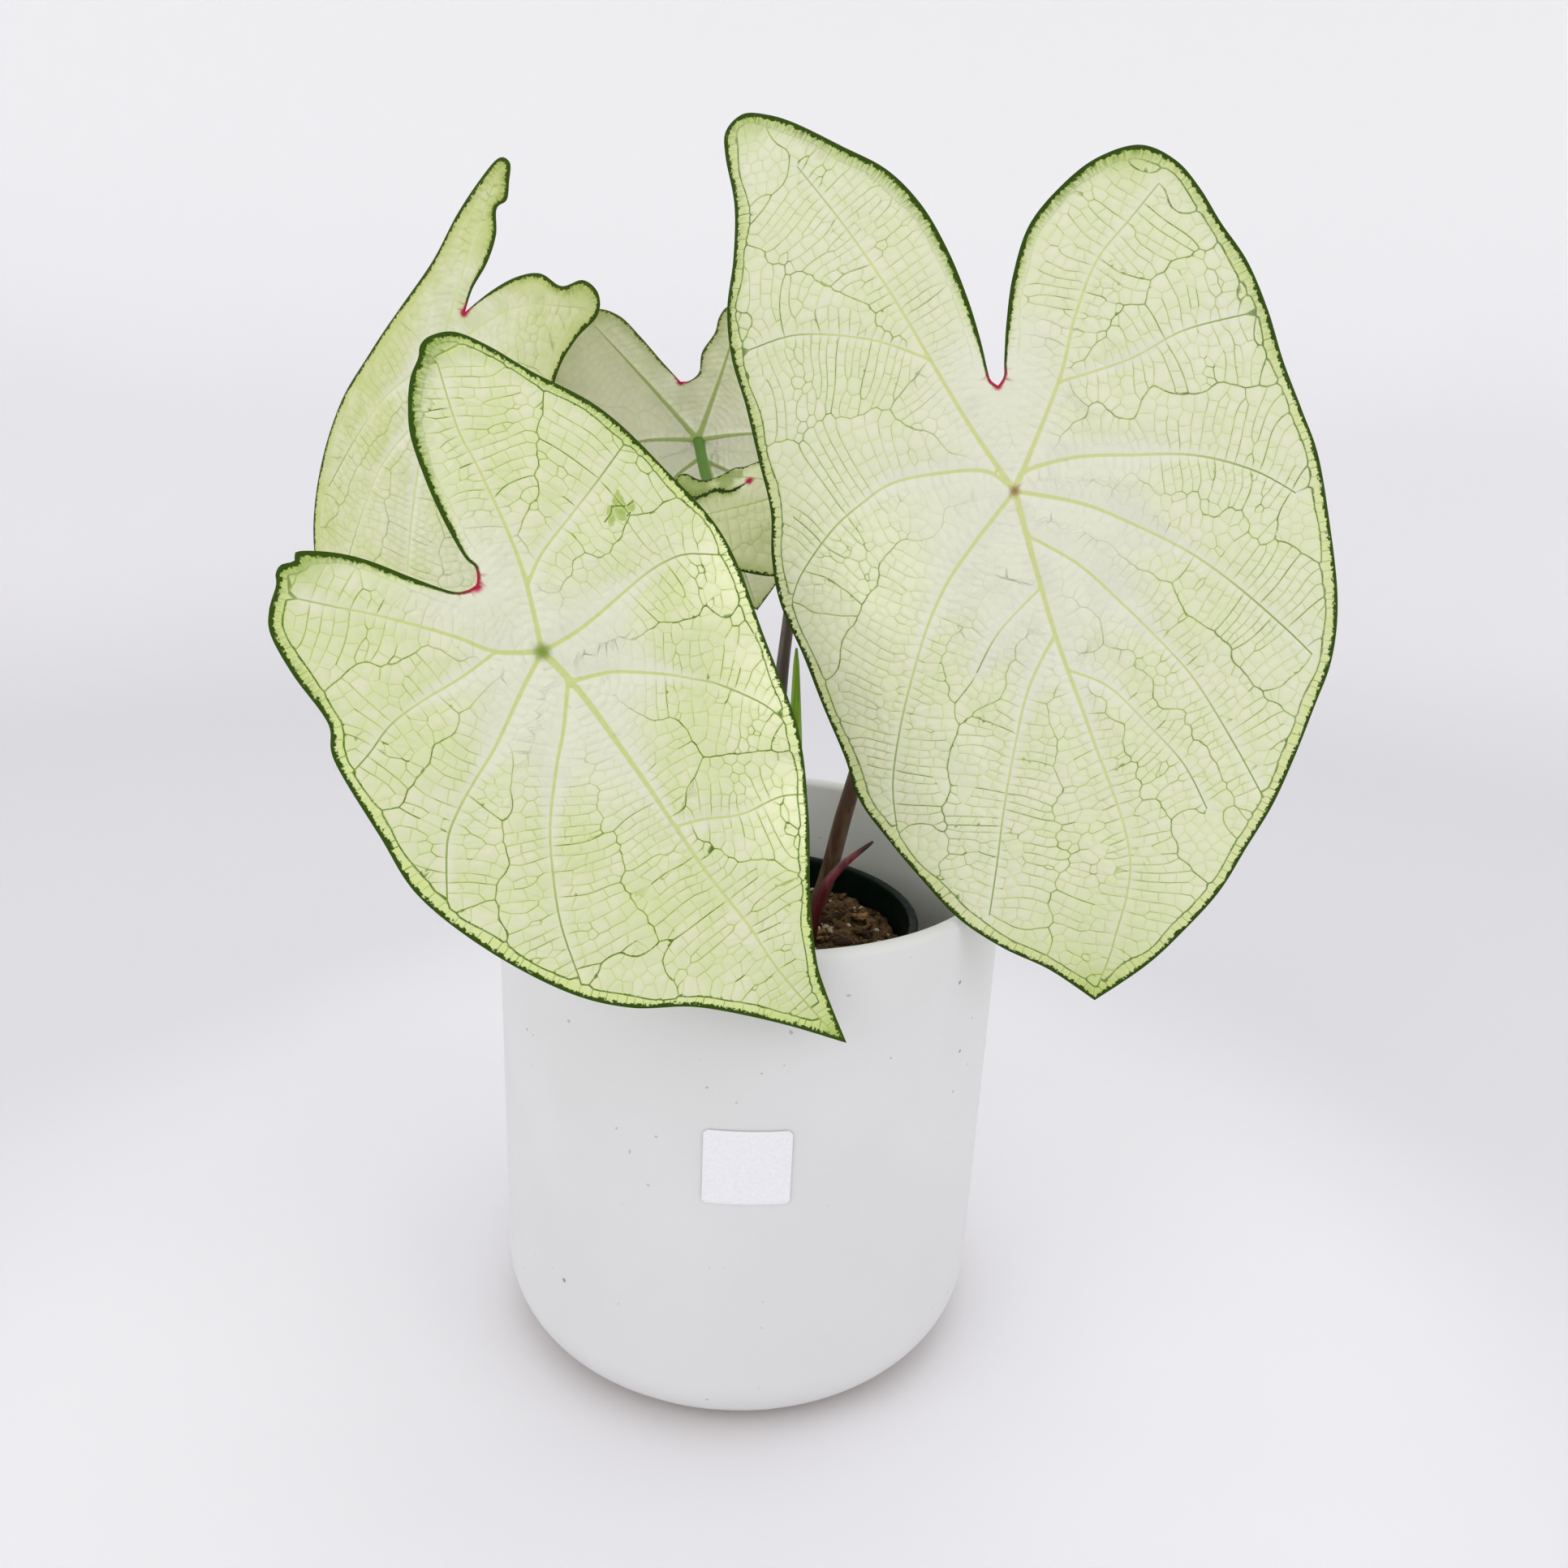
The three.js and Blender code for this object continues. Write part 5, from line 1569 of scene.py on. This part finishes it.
def dress_tuber():
    sh = Shader("tuber_skin", Specular_IOR_Level=0.2)
    skin = sh.noise(160, 5, (1, 1, 2))
    material = sh.finish(sh.blend(skin, 0.35, 0.65, (96, 68, 46), (134, 102, 72)), 0.85, [(skin, 0.5)])
    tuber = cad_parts["tuber"]
    tuber.data.materials.clear()
    tuber.data.materials.append(material)


# The stage, the lights and the camera

CAMERA = {"place": (0, -333, 277), "pitch": 0.3109, "yaw": 0.0257, "roll": 0.0458, "focal_px": 1450}
IMAGE_PX = 1932
SENSOR_WIDTH = 36
FLOOR_RADIUS = 750
FLOOR_CURVE = 550
FLOOR_SIDES = 96
FLOOR_DROP = 0.2
WALL_TOP = (1300, 1000)

# Each soft light with its place and the height that it points at on the plant's axis, both in metres,
# its size in metres and its power in watts
LIGHTS = [
    ("right_window", (0.95, -0.6, 0.6), 0.17, (0.8, 0.8), 2.3),
    ("left_window", (-0.9, -0.7, 0.75), 0.17, (0.8, 0.8), 3.2),
    ("ceiling", (0.1, 0.25, 1.3), 0.2, (0.9, 0.7), 1.6),
]


def build_stage():
    """A pale floor that rises all round into a low wall, so that no edge shows behind the plant."""
    curve = arc((FLOOR_RADIUS, FLOOR_CURVE), FLOOR_CURVE, -90, 0, 24)
    points, faces = turned([(0, 0), (FLOOR_RADIUS, 0), *curve[1:], WALL_TOP, WALL_TOP], FLOOR_SIDES)
    # The lathe's last fan, which would close the wall's top, is left off, and the faces turned inwards
    points = points[:-1] - (0, 0, FLOOR_DROP)
    faces = [face[::-1] for face in faces[:-FLOOR_SIDES]]
    mesh = bpy.data.meshes.new("studio_floor")
    mesh.from_pydata((points * MM).tolist(), [], faces)
    mesh.polygons.foreach_set("use_smooth", [True] * len(faces))
    sh = Shader("pale_floor", roughness=0.7, Specular_IOR_Level=0.2)
    colour = sh.blend(sh.noise(3, 2), 0.3, 0.7, (243, 242, 245), (240, 239, 242))
    away = sh.away((0, 0, 0))
    # Painted shade: a soft darker ring on the floor round the plant, out to where the floor rises into the
    # wall
    painted_shade_ring = sh.times(sh.between(away, 190, 330), sh.between(away, 800, 1150, 1, 0))
    colour = sh.mix(painted_shade_ring, colour, (229, 228, 231))
    mesh.materials.append(sh.finish(sh.blend(away, 1200, 1420, colour, (252, 252, 253))))
    floor = bpy.data.objects.new("studio_floor", mesh)
    bpy.context.scene.collection.objects.link(floor)


def build_lights():
    for name, place, aim_height, size, power in LIGHTS:
        light = bpy.data.lights.new(name, "AREA")
        light.shape = "RECTANGLE"
        light.size, light.size_y = size
        light.energy = power
        piece = bpy.data.objects.new(name, light)
        piece.location = place
        towards = Vector((0, 0, aim_height)) - Vector(place)
        piece.rotation_euler = towards.to_track_quat("-Z", "Y").to_euler()
        bpy.context.scene.collection.objects.link(piece)
    world = bpy.data.worlds.new("soft_white")
    world.use_nodes = True
    background = world.node_tree.nodes["Background"]
    background.inputs["Color"].default_value = (0.995, 0.991, 1.0, 1)
    background.inputs["Strength"].default_value = 0.76
    bpy.context.scene.world = world
    view = bpy.context.scene.view_settings
    view.view_transform = "Standard"
    view.look = "None"


def build_camera():
    pitch, yaw, roll = CAMERA["pitch"], CAMERA["yaw"], CAMERA["roll"]
    ahead = Vector((math.sin(yaw) * math.cos(pitch), math.cos(yaw) * math.cos(pitch), -math.sin(pitch)))
    level = Vector((math.cos(yaw), -math.sin(yaw), 0))
    up = level.cross(ahead)
    right = level * math.cos(roll) + up * math.sin(roll)
    above = up * math.cos(roll) - level * math.sin(roll)
    data = bpy.data.cameras.new("camera")
    data.sensor_width = SENSOR_WIDTH
    data.lens = SENSOR_WIDTH * CAMERA["focal_px"] / IMAGE_PX
    data.clip_start = 0.01
    camera = bpy.data.objects.new("camera", data)
    turn = Matrix((right, above, -ahead)).transposed()
    camera.matrix_world = Matrix.Translation(Vector(CAMERA["place"]) * MM) @ turn.to_4x4()
    bpy.context.scene.collection.objects.link(camera)
    bpy.context.scene.camera = camera


build_camera()
build_stage()
build_lights()
build_outer_pot()
build_label()
build_nursery_pot()
build_soil()
dress_tuber()
build_new_leaf()
build_sheath()

brown = stalk_material("brown_stalk", (92, 66, 52), (118, 95, 76), (150, 160, 104), (262, 300))
dark_brown = stalk_material("dark_stalk", (74, 60, 56), (98, 84, 78), (150, 160, 104), (262, 300))
green = stalk_material("green_stalk", (98, 112, 56), (112, 138, 66), (100, 142, 60), (190, 240))
STALKS = {
    "leaf_a": (brown, "stalk_brown"),
    "leaf_b": (brown, "stalk_brown"),
    "leaf_c": (brown, "stalk_brown"),
    "leaf_d": (green, "stalk_green"),
    "leaf_e": (dark_brown, "stalk_brown"),
}
for leaf_name, leaf_data in LEAVES.items():
    one = Leaf(leaf_name, leaf_data)
    one.build()
    build_stalk(one, *STALKS[leaf_name])
